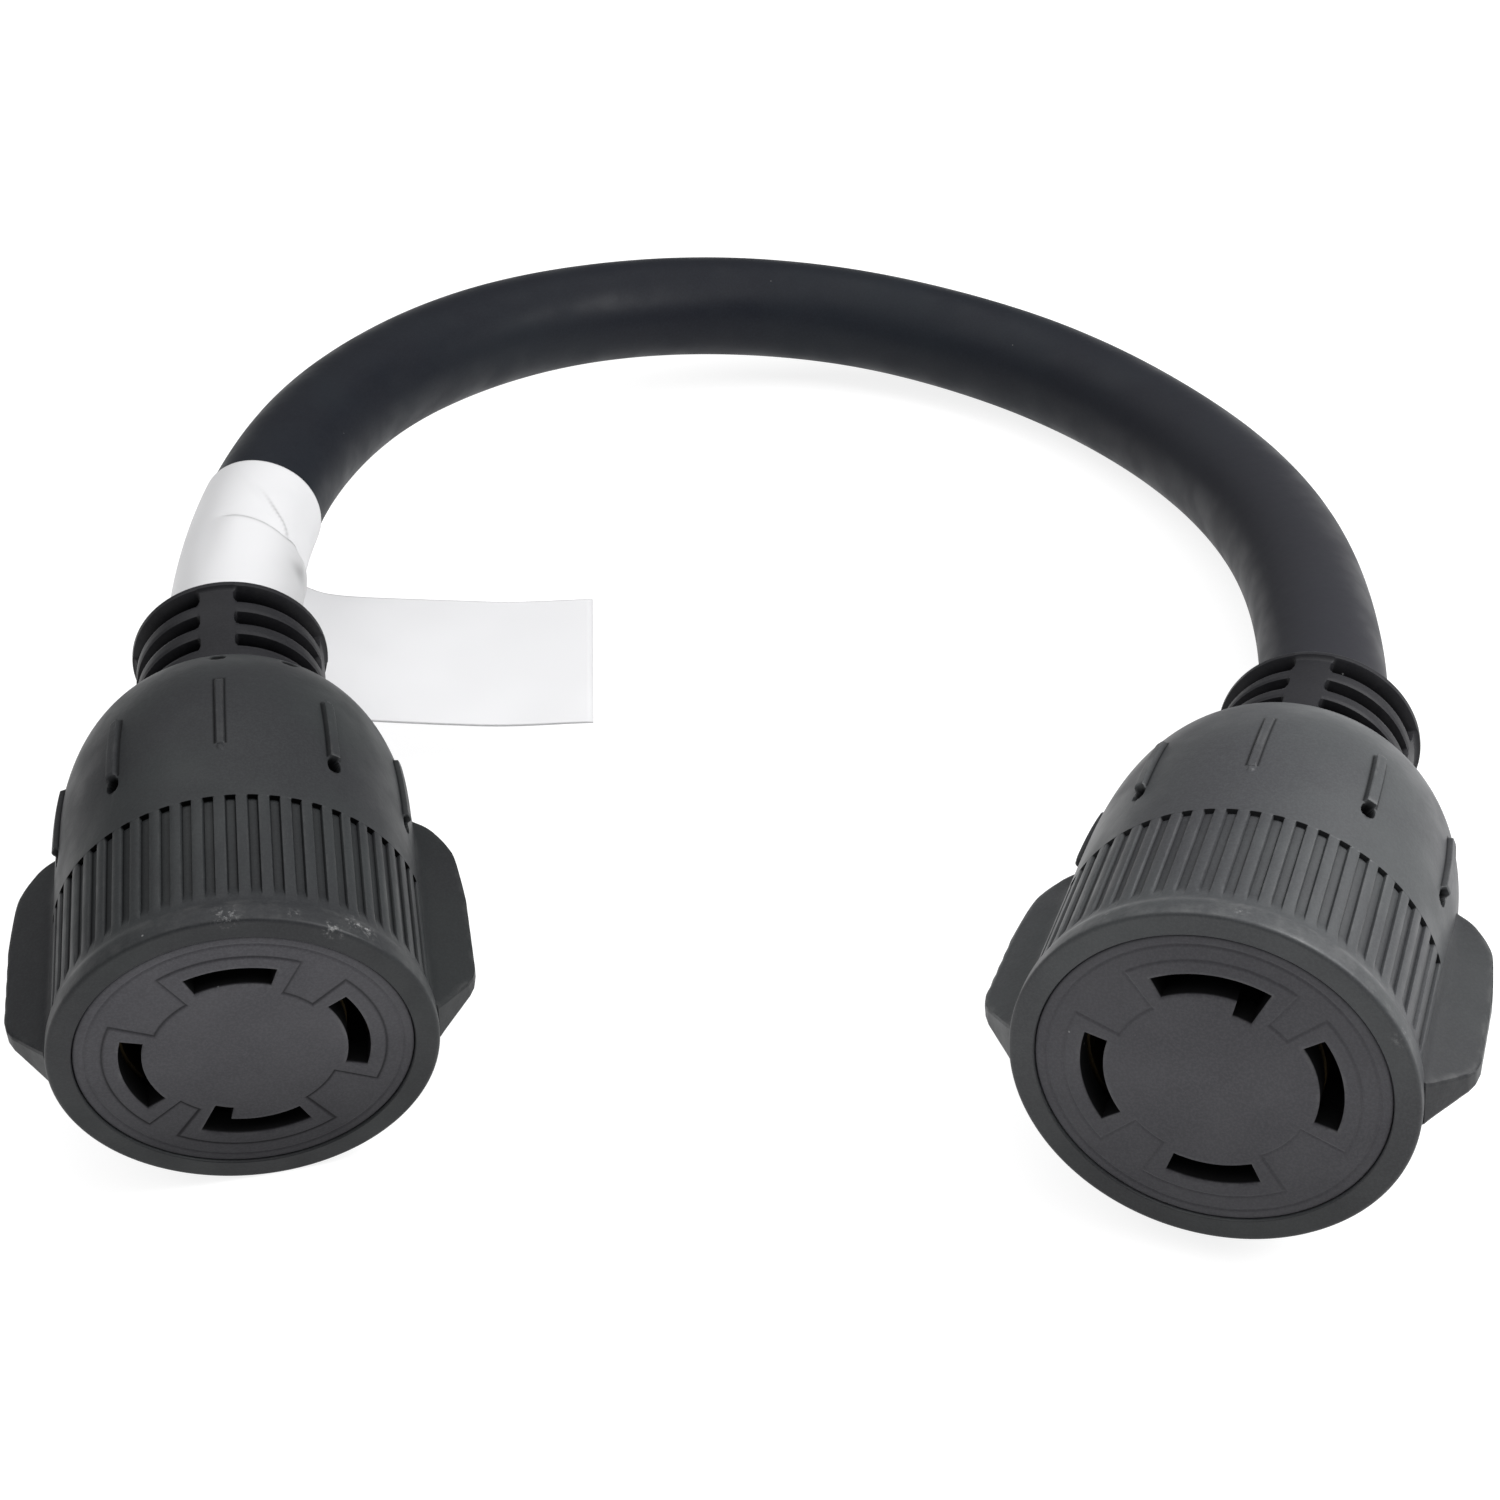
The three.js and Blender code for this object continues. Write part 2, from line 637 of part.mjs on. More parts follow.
function cable() {
  const group = new THREE.Group();
  const middle = laneStations(0, 0);
  const jacket = sweep(roundSection(CABLE_RADIUS, 12, JACKET_BORE), middle);
  group.add(meshOf("cable_jacket", solid(jacket), jacketPvc));
  const filler = sweep(roundSection(FILLER_RADIUS, 5), middle);
  group.add(meshOf("cable_filler", solid(filler), fillerPaper));
  BLADES.forEach((blade, index) => {
    const cover = sweep(
      roundSection(INSULATION_RADIUS, 6, INSULATION_BORE),
      conductorStations(index, CRIMP_END + 0.8),
    );
    const core = sweep(roundSection(COPPER_RADIUS, 5), conductorStations(index, CONTACT_BACK + 2));
    const finish = material(blade.colour, 0.55);
    group.add(meshOf(`conductor_${blade.name}`, solid(cover), finish));
    group.add(meshOf(`copper_${blade.name}`, solid(core), copper));
  });
  return group;
}

// ---------------------------------------------------------------- label
// A stretch of the cable's middle between two lengths from its start, bending where the jacket bends.
function cableStretch(from, to) {
  const length = cableLine.getLength();
  const middle = new StationPath(laneStations(0, 0));
  const inner = FRAMES.map((frame, i) => (i / CABLE_STEPS) * length).filter((s) => s > from && s < to);
  return [from, ...inner, to].map((s) => middle.getPoint(s / length));
}

// A sleeve round the cable with its two ends stuck together into a flat tail on the +X side.
function label() {
  const from = RELIEF_END - JACKET_START + LABEL_OFFSET;
  const outer = LABEL_RADIUS + LABEL_THICKNESS;
  const stations = cableStretch(from, from + LABEL_LENGTH);
  const sleeve = sweep(roundSection(outer, 16, LABEL_RADIUS), stations);
  const root = stations[0].clone().lerp(stations.at(-1), 0.5);
  const under = root.z - LABEL_RADIUS;
  const upper = TAIL.map(([reach, drop]) => new THREE.Vector2(root.x + reach, under - drop));
  const lower = upper.map((p) => new THREE.Vector2(p.x, p.y - LABEL_THICKNESS)).reverse();
  const shape = new THREE.Shape([...upper, ...lower]);
  const flag = new THREE.ExtrudeGeometry(shape, { depth: TAIL_WIDTH, bevelEnabled: false });
  flag.rotateX(Math.PI / 2);
  flag.translate(0, root.y + TAIL_SHIFT + TAIL_WIDTH / 2, 0);
  return meshOf("label_wrap", solid(sleeve).add(solid(flag)), labelVinyl);
}

// ---------------------------------------------------------------- assembly
const assembly = new THREE.Group();
for (const place of CONNECTORS) assembly.add(connector(place));
assembly.add(cable());
assembly.add(label());

export default assembly;
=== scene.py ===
import math
import bpy
import numpy as np
from mathutils import Matrix, Vector


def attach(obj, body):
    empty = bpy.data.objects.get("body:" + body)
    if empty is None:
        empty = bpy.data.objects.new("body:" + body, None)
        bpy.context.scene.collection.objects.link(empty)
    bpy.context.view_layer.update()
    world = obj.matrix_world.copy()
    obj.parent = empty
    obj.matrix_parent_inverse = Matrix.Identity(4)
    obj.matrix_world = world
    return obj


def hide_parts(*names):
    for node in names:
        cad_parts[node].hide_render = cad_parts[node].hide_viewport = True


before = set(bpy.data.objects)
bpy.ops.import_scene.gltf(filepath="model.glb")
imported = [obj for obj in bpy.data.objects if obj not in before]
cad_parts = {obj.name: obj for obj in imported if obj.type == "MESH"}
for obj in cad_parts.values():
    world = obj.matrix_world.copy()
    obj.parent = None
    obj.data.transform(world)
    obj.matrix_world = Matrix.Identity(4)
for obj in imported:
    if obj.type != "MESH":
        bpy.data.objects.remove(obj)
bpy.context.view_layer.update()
scene = bpy.context.scene
MM = 0.001

# ---------------------------------------------------------------- camera
camera_data = bpy.data.cameras.new("camera")
camera_data.lens = 57.6
camera_data.sensor_width = 36
camera_data.clip_start = 0.02
camera_data.clip_end = 50
camera = bpy.data.objects.new("camera", camera_data)
scene.collection.objects.link(camera)
CAMERA_PLACE = (0.0025, -0.2723, 0.266845)
CAMERA_RIGHT = Vector((0.9967, -0.05007, -0.06384))
CAMERA_UP = Vector((0.08113, 0.61509, 0.78427))
CAMERA_BACK = -Vector((0.0, 0.78687, -0.61712))
camera_turn = Matrix((CAMERA_RIGHT, CAMERA_UP, CAMERA_BACK)).transposed().to_4x4()
camera.matrix_world = Matrix.Translation(CAMERA_PLACE) @ camera_turn
scene.camera = camera
scene.view_settings.view_transform = "Standard"

# ---------------------------------------------------------------- dimensions, in mm and degrees
# Depths are measured back from a connector's socket face, angles round its axis from its right side.
FACE_RADIUS = 27.5
RING_END = 5.0
BARREL_RADIUS = 27.0
BARREL_SPREAD = 0.1  # how much wider the barrel is where the dome starts
DOME_RADIUS = 27.1
DOME_START = 33.0
DOME_REACH = 38.0
DOME_END = 67.0
LIP_MARK_DEPTH = 61.2
LIP_MARK_ANGLES = (90, 62)
LIP_MARK_HALF_SIZES = (1.35, 1.2)  # across and along the axis
BORE_RADIUS = 23.9

GROOVES_PER_TURN = 54
GROOVE_PITCH = 360 / GROOVES_PER_TURN
GROOVE_DEPTH = 0.5
GROOVE_HALF = 1.5
GROOVE_END = 25.16
GROOVE_PIT_DEPTH = 0.2  # how much deeper a groove is at its end
LAND_CROWN = 0.13
# painted shade: how strong it is in each connector's grooves, and how much is painted on the lower side of
# its face ring
GROOVE_SHADES = {"a": 1.0, "b": 0.6}
RING_SHADES = {"a": 0.2, "b": 0.42}

RIB_PITCH = 36
RIB_SHIFTS = (-0.9, 2.2)  # of the ribs on the upper and the lower half
RIB_FRONT = 36.3
RIB_BACK = 49.6
MIDDLE_RIB_BACKS = (52.0, 50.6)  # of the faint ribs at the very top and bottom
RIB_HALF = 0.85
RIB_HEIGHT = 0.75
MIDDLE_RIB_HALF = 0.6
MIDDLE_RIB_HEIGHT = 0.3
MIDDLE_RIB_REACH = 12  # ribs nearer than this to the top or bottom are the faint ones
HOLE_DEPTH = 34.95
HOLE_HALF_SIZES = (1.02, 1.3)  # across and along the axis
HOLE_POWER = 2.4
DOT_DEPTH = 35.6
DOT_HALF_SIZES = (0.5, 0.6)  # across and along the axis

WING_ROOT = 25.2
WING_TIP = 33.6
WING_CLEARANCE = 7.5  # no grooves this close to a wing
WING_ROUNDING = 0.55
WING_FRONT = ((WING_ROOT, 2.6), (27.5, 1.7), (32.4, 7.2), (33.2, 8.6), (WING_TIP, 10.6))  # out, depth
WING_BACK = 41.9
WING_SLOPE = (26.4, 33.1)  # distance out between which the rear edge bends forward
WING_SLOPE_DEPTH = 41.6
WING_SLOPE_REACH = 8.6
WING_CORNER = 32.4  # distance out from which it also turns in to the tip
WING_CORNER_WIDTH = 1.2
WING_CORNER_REACH = 8.5
WING_TIP_BACK = 24.5
WING_FLAT_START = 27.0
WING_HALVES = (3.5, 1.25)  # half thickness at the start of its flat side and at its tip
WING_FILLET = 1.1  # how much thicker each side is where it meets the barrel
# painted shade on the top of each wing, stronger on the side that gets less light
WING_SHADES = {"a_right": 0.38, "a_left": 0.2, "b_right": 0.05, "b_left": 0.42}

RELIEF_RADIUS = 15.4
RELIEF_RIM_RADIUS = 16.1
RELIEF_END = 88.8
RELIEF_START = 56.0
RELIEF_SLOTS = (85.9, 80.2, 74.5, 68.8)
RELIEF_SLOT_HALF = 1.45
RELIEF_SLOT_DEPTH = 2.9
RELIEF_SLOT_CORNER = 0.8
RELIEF_WEB_HALF = 10.5
RELIEF_WEB_SHIFT = 2.3
RELIEF_SIDE_START = 59.2
RELIEF_BORE = 10.75

INSERT_RADIUS = 23.78
INSERT_RECESS = 0.32
INSERT_BACK = 4.4
INSERT_SKIRT_END = 16.0
INSERT_SKIRT_BORE = 21.3
DISC_LINE_RADIUS = 22.3  # of the fine circle moulded round the disc
SLOT_INNER = 14.4
SLOT_OUTER = 17.6
HOOK_INNER = 11.9
HOOK_SPAN = 12.9
# Each slot's middle angle, and its two ends from there; the last one has the hook.
SLOTS = ((91, -21.5, 21.5), (7, -25, 25), (187, -25, 25), (271, -28.6, 24.8))

CABLE_RADIUS = 10.5
LAY_HEIGHT = 0.05  # of the four slow ridges that the conductors press into the jacket
LAY_LENGTH = 260
JACKET_BORE = 7.4
JACKET_START = 66.0
JACKET_SIDES = 84
# painted light: the jacket is painted paler towards connector b, which gets more light
JACKET_PALER = 0.8  # how far its colour has gone to the pale one at connector b
JACKET_PALER_SPAN = (0.55, 0.88)  # the shares of its length over which it gets paler
LINE_SPAN_POINTS = 24
LINE_STEP = 1.5
LINE_SMOOTHING = 60

CONNECTORS = {
    "a": dict(place=(-72.3, -27.4, 27.3256), yaw=7.26, tilt=-5.0, roll=-4.3),
    "b": dict(place=(59.6, -52.1, 31.9185), yaw=-23.0, tilt=5.5, roll=184.8),
}
# The middle of the cable from connector a to connector b, in metres, as in the CAD.
ROUTE = [
    (-0.0844, 0.0703, 0.0358), (-0.0845, 0.0801, 0.0362), (-0.0834, 0.1001, 0.0362),
    (-0.0802, 0.1200, 0.0352), (-0.0746, 0.1390, 0.0336), (-0.0659, 0.1573, 0.0313),
    (-0.0542, 0.1735, 0.0286), (-0.0397, 0.1871, 0.0256), (-0.0224, 0.1971, 0.0224),
    (-0.0032, 0.2027, 0.0193), (0.0167, 0.2033, 0.0165), (0.0359, 0.1992, 0.0141),
    (0.0538, 0.1905, 0.0121), (0.0698, 0.1781, 0.0110), (0.0829, 0.1626, 0.0106),
    (0.0927, 0.1453, 0.0111), (0.0996, 0.1265, 0.0125), (0.1035, 0.1069, 0.0144),
    (0.1044, 0.0871, 0.0167), (0.1029, 0.0672, 0.0190), (0.1013, 0.0573, 0.0202),
    (0.0987, 0.0432, 0.0218),
]


def connector_turn(tag):
    c = CONNECTORS[tag]
    yaw, tilt, roll = (math.radians(c[k]) for k in ("yaw", "tilt", "roll"))
    facing = Matrix.Rotation(yaw, 3, "Z") @ Matrix.Rotation(-tilt, 3, "X")
    return np.array(facing @ Matrix.Rotation(-roll, 3, "Y"))


def in_connector(tag, points):
    """Points given across, in depth and up from a connector's socket face, in the row frame, mm."""
    return np.asarray(points, float) @ connector_turn(tag).T + np.array(CONNECTORS[tag]["place"])


# ---------------------------------------------------------------- meshes
def smooth_step(low, high, value):
    t = np.clip((np.asarray(value, float) - low) / (high - low), 0, 1)
    return t * t * (3 - 2 * t)


def angle_between(a, b):
    return (a - b + 180) % 360 - 180


def bump(value, width):
    return np.exp(-(np.asarray(value, float) / width) ** 2)


def noise_wave(points, scale, seed):
    """A smooth seeded field from a few crossing sine waves, from -1 to 1."""
    rng = np.random.default_rng(seed)
    total = np.zeros(len(points))
    for _ in range(7):
        direction = rng.normal(size=3)
        direction /= np.linalg.norm(direction)
        total += np.sin(points @ direction * scale * rng.uniform(0.6, 1.6) + rng.uniform(0, 6.3))
    return total / 7


def put_piece(name, points, faces, material, replaces, marks, sharp):
    """A mesh piece from points in mm, with its faces as they are given."""
    mesh = bpy.data.meshes.new(name)
    mesh.from_pydata((points * MM).tolist(), [], faces)
    mesh.validate()
    mesh.shade_smooth()
    mesh.set_sharp_from_angle(angle=math.radians(sharp))
    for mark, values in marks.items():
        layer = mesh.attributes.new(mark, "FLOAT", "POINT")
        layer.data.foreach_set("value", np.asarray(values, np.float32))
    obj = bpy.data.objects.new(name, mesh)
    scene.collection.objects.link(obj)
    mesh.materials.append(material)
    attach(obj, "root")
    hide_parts(*replaces)
    return obj


def add_piece(name, points, faces, material, replaces, marks, sharp=38):
    """A closed mesh piece from points in mm, with its faces turned to point out."""
    centre = points.mean(0)
    a, b, c = (points[faces[:, k]] - centre for k in (0, 1, 2))
    d = points[faces[:, 3]] - centre
    volume = np.einsum("ij,ij->i", a, np.cross(b, c)).sum()
    volume += np.einsum("ij,ij->i", a, np.cross(c, d)).sum()
    if volume < 0:
        faces = faces[:, ::-1]
    return put_piece(name, points, faces.tolist(), material, replaces, marks, sharp)


def grid_faces(rows, columns, close_rows=False, close_columns=True):
    """The quads of a grid of points, joined at its ends where it closes."""
    i = np.arange(rows if close_rows else rows - 1)
    j = np.arange(columns if close_columns else columns - 1)
    i, j = np.meshgrid(i, j, indexing="ij")
    i2 = (i + 1) % rows
    j2 = (j + 1) % columns
    corners = ((i, j), (i, j2), (i2, j2), (i2, j))
    return np.stack([(r * columns + c).ravel() for r, c in corners], 1)


def path_rows(corners, step):
    """Points along a polyline of (radius, depth), no further apart than step, corners kept."""
    rows = [corners[0]]
    for before, after in zip(corners, corners[1:]):
        count = max(1, math.ceil(math.dist(before, after) / step))
        for k in range(1, count + 1):
            t = k / count
            rows.append(tuple(b + (a - b) * t for b, a in zip(before, after)))
    return rows


def quarter_round(centre, radius, start, stop):
    """An arc of five (radius, depth) points, by angle in degrees from the radius axis."""
    return [
        (centre[0] + radius * math.cos(math.radians(t)), centre[1] + radius * math.sin(math.radians(t)))
        for t in np.linspace(start, stop, 5)
    ]


def turned(surface, depth, angles):
    """Points at a radius and depth for each angle round a connector's axis."""
    turn = np.radians(angles)[None, :]
    sheet = [surface * np.cos(turn), np.broadcast_to(depth, surface.shape), surface * np.sin(turn)]
    return np.stack(sheet, -1).reshape(-1, 3)


# ---------------------------------------------------------------- materials
class Graph:
    """A short way to write a material's node graph."""

    def __init__(self, name):
        self.material = bpy.data.materials.new(name)
        self.material.use_nodes = True
        self.nodes = self.material.node_tree.nodes
        self.links = self.material.node_tree.links
        self.shader = self.nodes["Principled BSDF"]
        self.place = self.nodes.new("ShaderNodeTexCoord").outputs["Object"]

    def link(self, source, target):
        if isinstance(source, (int, float, tuple)):
            target.default_value = source
        else:
            self.links.new(source, target)

    def noise(self, scale, detail=2.0, rough=0.5, stretch=None):
        node = self.nodes.new("ShaderNodeTexNoise")
        node.inputs["Scale"].default_value = scale
        node.inputs["Detail"].default_value = detail
        node.inputs["Roughness"].default_value = rough
        place = self.place
        if stretch:
            mapping = self.nodes.new("ShaderNodeMapping")
            mapping.inputs["Scale"].default_value = stretch
            self.links.new(place, mapping.inputs["Vector"])
            place = mapping.outputs["Vector"]
        self.links.new(place, node.inputs["Vector"])
        return node.outputs["Fac"]

    def cells(self, scale):
        node = self.nodes.new("ShaderNodeTexVoronoi")
        node.inputs["Scale"].default_value = scale
        self.links.new(self.place, node.inputs["Vector"])
        return node.outputs["Distance"]

    def mark(self, name):
        node = self.nodes.new("ShaderNodeAttribute")
        node.attribute_name = name
        return node.outputs["Fac"]

    def ramp(self, value, low, high, bottom=0.0, top=1.0):
        node = self.nodes.new("ShaderNodeMapRange")
        node.interpolation_type = "SMOOTHSTEP"
        for key, v in (("From Min", low), ("From Max", high), ("To Min", bottom), ("To Max", top)):
            node.inputs[key].default_value = v
        self.links.new(value, node.inputs["Value"])
        return node.outputs["Result"]

    def math(self, kind, a, b):
        node = self.nodes.new("ShaderNodeMath")
        node.operation = kind
        self.link(a, node.inputs[0])
        self.link(b, node.inputs[1])
        return node.outputs[0]

    def mix(self, share, a, b):
        node = self.nodes.new("ShaderNodeMix")
        node.data_type = "RGBA"
        self.link(share, node.inputs[0])
        self.link(a, node.inputs[6])
        self.link(b, node.inputs[7])
        return node.outputs[2]

    def bumps(self, *heights):
        """Each height is a value, its strength and its distance in metres."""
        normal = None
        for value, strength, distance in heights:
            node = self.nodes.new("ShaderNodeBump")
            node.inputs["Strength"].default_value = strength
            node.inputs["Distance"].default_value = distance
            self.links.new(value, node.inputs["Height"])
            if normal is not None:
                self.links.new(normal, node.inputs["Normal"])
            normal = node.outputs["Normal"]
        self.links.new(normal, self.shader.inputs["Normal"])


def grey(level):
    return (level, level, level, 1.0)


def moulded(name, base, light, rough, grain=900.0, strength=0.25, scuff=0.0, shine=0.2,
            paints_shade=False, pale=None):
    """Moulded plastic or rubber: fine grain, slow colour drift, lighter edges and a few specks.

    Edges marked on the mesh turn lighter: wear in places, painted highlight in others. Where painted shade is
    marked, it is painted dark and dull. A pale colour shows where the mesh is marked pale.
    """
    g = Graph(name)
    drift = g.ramp(g.noise(38, 3), 0.35, 0.65)
    colour = g.mix(drift, base, light)
    speckle = g.ramp(g.noise(2600, 2, 0.7), 0.38, 0.66)
    colour = g.mix(g.math("MULTIPLY", speckle, 0.3), colour, tuple(1.6 * v for v in light[:3]) + (1,))
    # lighter where edges are marked: wear and random tone in some places, painted highlight in others
    edge = g.math("MULTIPLY", g.mark("edge"), g.ramp(g.noise(260, 4, 0.7), 0.42, 0.68))
    colour = g.mix(g.math("MULTIPLY", edge, 0.35), colour, grey(light[1] * 3.2))
    g.shader.inputs["Specular IOR Level"].default_value = shine
    # painted shade: dark and dull where the mesh is marked with it
    if paints_shade:
        painted_shade = g.mark("painted_shade")
        colour = g.mix(g.math("MULTIPLY", painted_shade, 0.93), colour, grey(base[1] * 0.12))
        g.link(g.ramp(painted_shade, 0.0, 1.0, shine, 0.01), g.shader.inputs["Specular IOR Level"])
    # a paler colour where marked; on the jacket this is painted light
    if pale:
        colour = g.mix(g.mark("pale"), colour, pale)
    if scuff:
        flecks = g.ramp(g.noise(1100, 5, 0.75), 0.50, 0.66)
        worn = g.math("MULTIPLY", flecks, g.mark("scuff"))
        colour = g.mix(g.math("MULTIPLY", worn, scuff), colour, grey(0.34))
    dots = g.ramp(g.cells(150), 0.035, 0.02)
    few = g.ramp(g.noise(23, 0), 0.55, 0.6)
    colour = g.mix(g.math("MULTIPLY", g.math("MULTIPLY", dots, few), 0.5), colour, grey(0.3))
    g.link(colour, g.shader.inputs["Base Color"])
    g.link(g.ramp(g.noise(120, 3), 0.3, 0.7, rough - 0.06, rough + 0.07), g.shader.inputs["Roughness"])
    g.bumps((g.noise(grain, 3, 0.6), strength, 0.00012), (g.noise(70, 2), 0.12, 0.0008))
    return g.material


def metal(name, base, dark, rough):
    """Drawn or pressed metal, a little tarnished, with fine lines along it."""
    g = Graph(name)
    g.link(g.mix(g.ramp(g.noise(160, 4), 0.35, 0.7), base, dark), g.shader.inputs["Base Color"])
    g.shader.inputs["Metallic"].default_value = 1.0
    g.link(g.ramp(g.noise(300, 2), 0.3, 0.7, rough, rough + 0.15), g.shader.inputs["Roughness"])
    g.bumps((g.noise(500, 2, 0.5, (1, 6, 1)), 0.2, 0.0001))
    return g.material


def vinyl(name):
    """Smooth white film, with painted shade in its creases and on its shaded side, and grey at its cut edges.
    """
    g = Graph(name)
    colour = g.mix(g.ramp(g.noise(30, 2), 0.35, 0.7), (0.635, 0.635, 0.645, 1), (0.60, 0.60, 0.61, 1))
    # painted shade in the creases and on the wrap's right side; grey at the cut edges
    colour = g.mix(g.math("MULTIPLY", g.mark("edge"), 0.85), colour, grey(0.13))
    g.link(colour, g.shader.inputs["Base Color"])
    g.link(g.ramp(g.noise(90, 2), 0.3, 0.7, 0.38, 0.5), g.shader.inputs["Roughness"])
    g.shader.inputs["Specular IOR Level"].default_value = 0.25
    g.bumps((g.noise(1400, 2), 0.08, 0.00005), (g.noise(60, 2), 0.15, 0.0006))
    return g.material


# connector b's plastic is a lighter copy of a's: painted light, for the stronger light falling on connector b
GRIP = {
    "a": moulded("grip_plastic", (0.0155, 0.0160, 0.0183, 1), (0.0200, 0.0225, 0.0235, 1), 0.50,
                 scuff=0.8, shine=0.26, paints_shade=True),
    "b": moulded("grip_plastic_lit_copy", (0.0305, 0.031, 0.0345, 1), (0.0385, 0.0415, 0.0435, 1), 0.48,
                 scuff=0.8, shine=0.34, paints_shade=True),
}
RELIEF = moulded("relief_rubber", (0.009, 0.009, 0.011, 1), (0.013, 0.013, 0.015, 1), 0.5, paints_shade=True)
INSERT = moulded("insert_nylon", (0.056, 0.055, 0.062, 1), (0.066, 0.065, 0.072, 1), 0.55,
                 grain=1400, strength=0.18, paints_shade=True)
JACKET = moulded("jacket_rubber", (0.006, 0.007, 0.011, 1), (0.008, 0.010, 0.014, 1), 0.5,
                 grain=700, strength=0.12, shine=0.15, pale=(0.021, 0.021, 0.025, 1))
LABEL = vinyl("label_vinyl")
INNER = {
    "contact_carrier": moulded("carrier_nylon", grey(0.02), grey(0.026), 0.6),
    "inner_cover": moulded("cover_plastic", grey(0.08), grey(0.10), 0.6),
    # its colour is made far darker than brass: painted shade inside the socket
    "contact_": metal("contact_brass", (0.055, 0.04, 0.02, 1), (0.035, 0.027, 0.015, 1), 0.55),
    "copper": metal("copper_wire", (0.72, 0.33, 0.18, 1), (0.45, 0.20, 0.11, 1), 0.35),
    "cable_filler": moulded("filler_paper", (0.55, 0.5, 0.4, 1), (0.6, 0.56, 0.46, 1), 0.85),
    "conductor_neutral": moulded("insulation_white", grey(0.7), grey(0.75), 0.4),
    "conductor_line_x": moulded("insulation_black", grey(0.012), grey(0.016), 0.4),
    "conductor_line_y": moulded("insulation_red", (0.35, 0.02, 0.015, 1), (0.4, 0.03, 0.02, 1), 0.4),
    "conductor_ground": moulded("insulation_green", (0.02, 0.13, 0.03, 1), (0.03, 0.16, 0.04, 1), 0.4),
}
# Each inner CAD node takes the material whose name its own name starts with, the longest one first.
for node_name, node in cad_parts.items():
    best = max((key for key in INNER if node_name.startswith(key)), key=len, default=None)
    if best:
        node.data.materials.clear()
        node.data.materials.append(INNER[best])


# ---------------------------------------------------------------- cable
def centripetal(points, per_span):
    """The same curve as the CAD route: a centripetal Catmull-Rom through every point."""
    points = [np.array(p, float) for p in points]
    padded = [2 * points[0] - points[1], *points, 2 * points[-1] - points[-2]]
    made = []
    for p0, p1, p2, p3 in zip(padded, padded[1:], padded[2:], padded[3:]):
        knots = [0.0]
        for before, after in ((p0, p1), (p1, p2), (p2, p3)):
            knots.append(knots[-1] + math.sqrt(np.linalg.norm(after - before)))
        t0, t1, t2, t3 = knots
        for t in np.linspace(t1, t2, per_span, endpoint=False):
            a1 = ((t1 - t) * p0 + (t - t0) * p1) / (t1 - t0)
            a2 = ((t2 - t) * p1 + (t - t1) * p2) / (t2 - t1)
            a3 = ((t3 - t) * p2 + (t - t2) * p3) / (t3 - t2)
            b1 = ((t2 - t) * a1 + (t - t0) * a2) / (t2 - t0)
            b2 = ((t3 - t) * a2 + (t - t1) * a3) / (t3 - t1)
            made.append(((t2 - t) * b1 + (t - t1) * b2) / (t2 - t1))
    made.append(points[-1])
    return np.array(made)


def evenly(points, step):
    """The same line with its points a step apart."""
    lengths = np.concatenate([[0], np.cumsum(np.linalg.norm(np.diff(points, axis=0), axis=1))])
    count = max(2, round(lengths[-1] / step)) + 1
    at = np.linspace(0, lengths[-1], count)
    return np.stack([np.interp(at, lengths, points[:, k]) for k in range(3)], 1)


def smooth_line(points, passes):
    """Relaxes a line towards even curvature, its ends held."""
    points = points.copy()
    for _ in range(passes):
        points[1:-1] += 0.5 * ((points[:-2] + points[2:]) / 2 - points[1:-1])
    return points


def frames_along(points):
    """For each point of a line, the level direction to its right and the one that is up from it."""
    along = np.gradient(points, axis=0)
    along /= np.linalg.norm(along, axis=1)[:, None]
    side = np.stack([along[:, 1], -along[:, 0], np.zeros(len(along))], 1)
    side /= np.linalg.norm(side, axis=1)[:, None]
    return side, np.cross(side, along)


def axis_points(tag, depths):
    """Points on a connector's axis, in mm."""
    return [in_connector(tag, (0, depth, 0)) for depth in depths]


ends = (JACKET_START, (JACKET_START + RELIEF_END) / 2, RELIEF_END)
route = [*axis_points("a", ends), *(np.array(p) * 1000 for p in ROUTE), *axis_points("b", ends[::-1])]
LINE = smooth_line(evenly(centripetal(route, LINE_SPAN_POINTS), LINE_STEP), LINE_SMOOTHING)
LINE_LENGTH = float(np.linalg.norm(np.diff(LINE, axis=0), axis=1).sum())


def make_cable():
    """The jacket as a thick tube along the line, with painted light making it paler towards connector b."""
    side, up = frames_along(LINE)
    angles = np.linspace(0, 2 * np.pi, JACKET_SIDES, endpoint=False)
    arc = np.linspace(0, LINE_LENGTH, len(LINE))
    outside, inside = [], []
    for middle, s, u, length in zip(LINE, side, up, arc):
        twist = 2 * np.pi * length / LAY_LENGTH
        radius = CABLE_RADIUS - LAY_HEIGHT + LAY_HEIGHT * np.cos(4 * (angles - twist))
        outside.append(middle + np.outer(np.cos(angles) * radius, s) + np.outer(np.sin(angles) * radius, u))
        inside.append(middle + JACKET_BORE * (np.outer(np.cos(angles), s) + np.outer(np.sin(angles), u)))
    rows = np.array(outside + inside[::-1])
    points = rows.reshape(-1, 3)
    drift = noise_wave(points, 0.05, 5)
    share = np.concatenate([arc, arc[::-1]]) / LINE_LENGTH
    # painted light: paler towards connector b
    paler = np.repeat(JACKET_PALER * smooth_step(*JACKET_PALER_SPAN, share), JACKET_SIDES)
    faces = grid_faces(len(rows), JACKET_SIDES, close_rows=True)
    marks = {"edge": 0.15 * np.clip(drift, 0, 1), "pale": paler}
    return add_piece("cable_sheath", points, faces, JACKET, ["cable_jacket"], marks, sharp=60)


cable = make_cable()

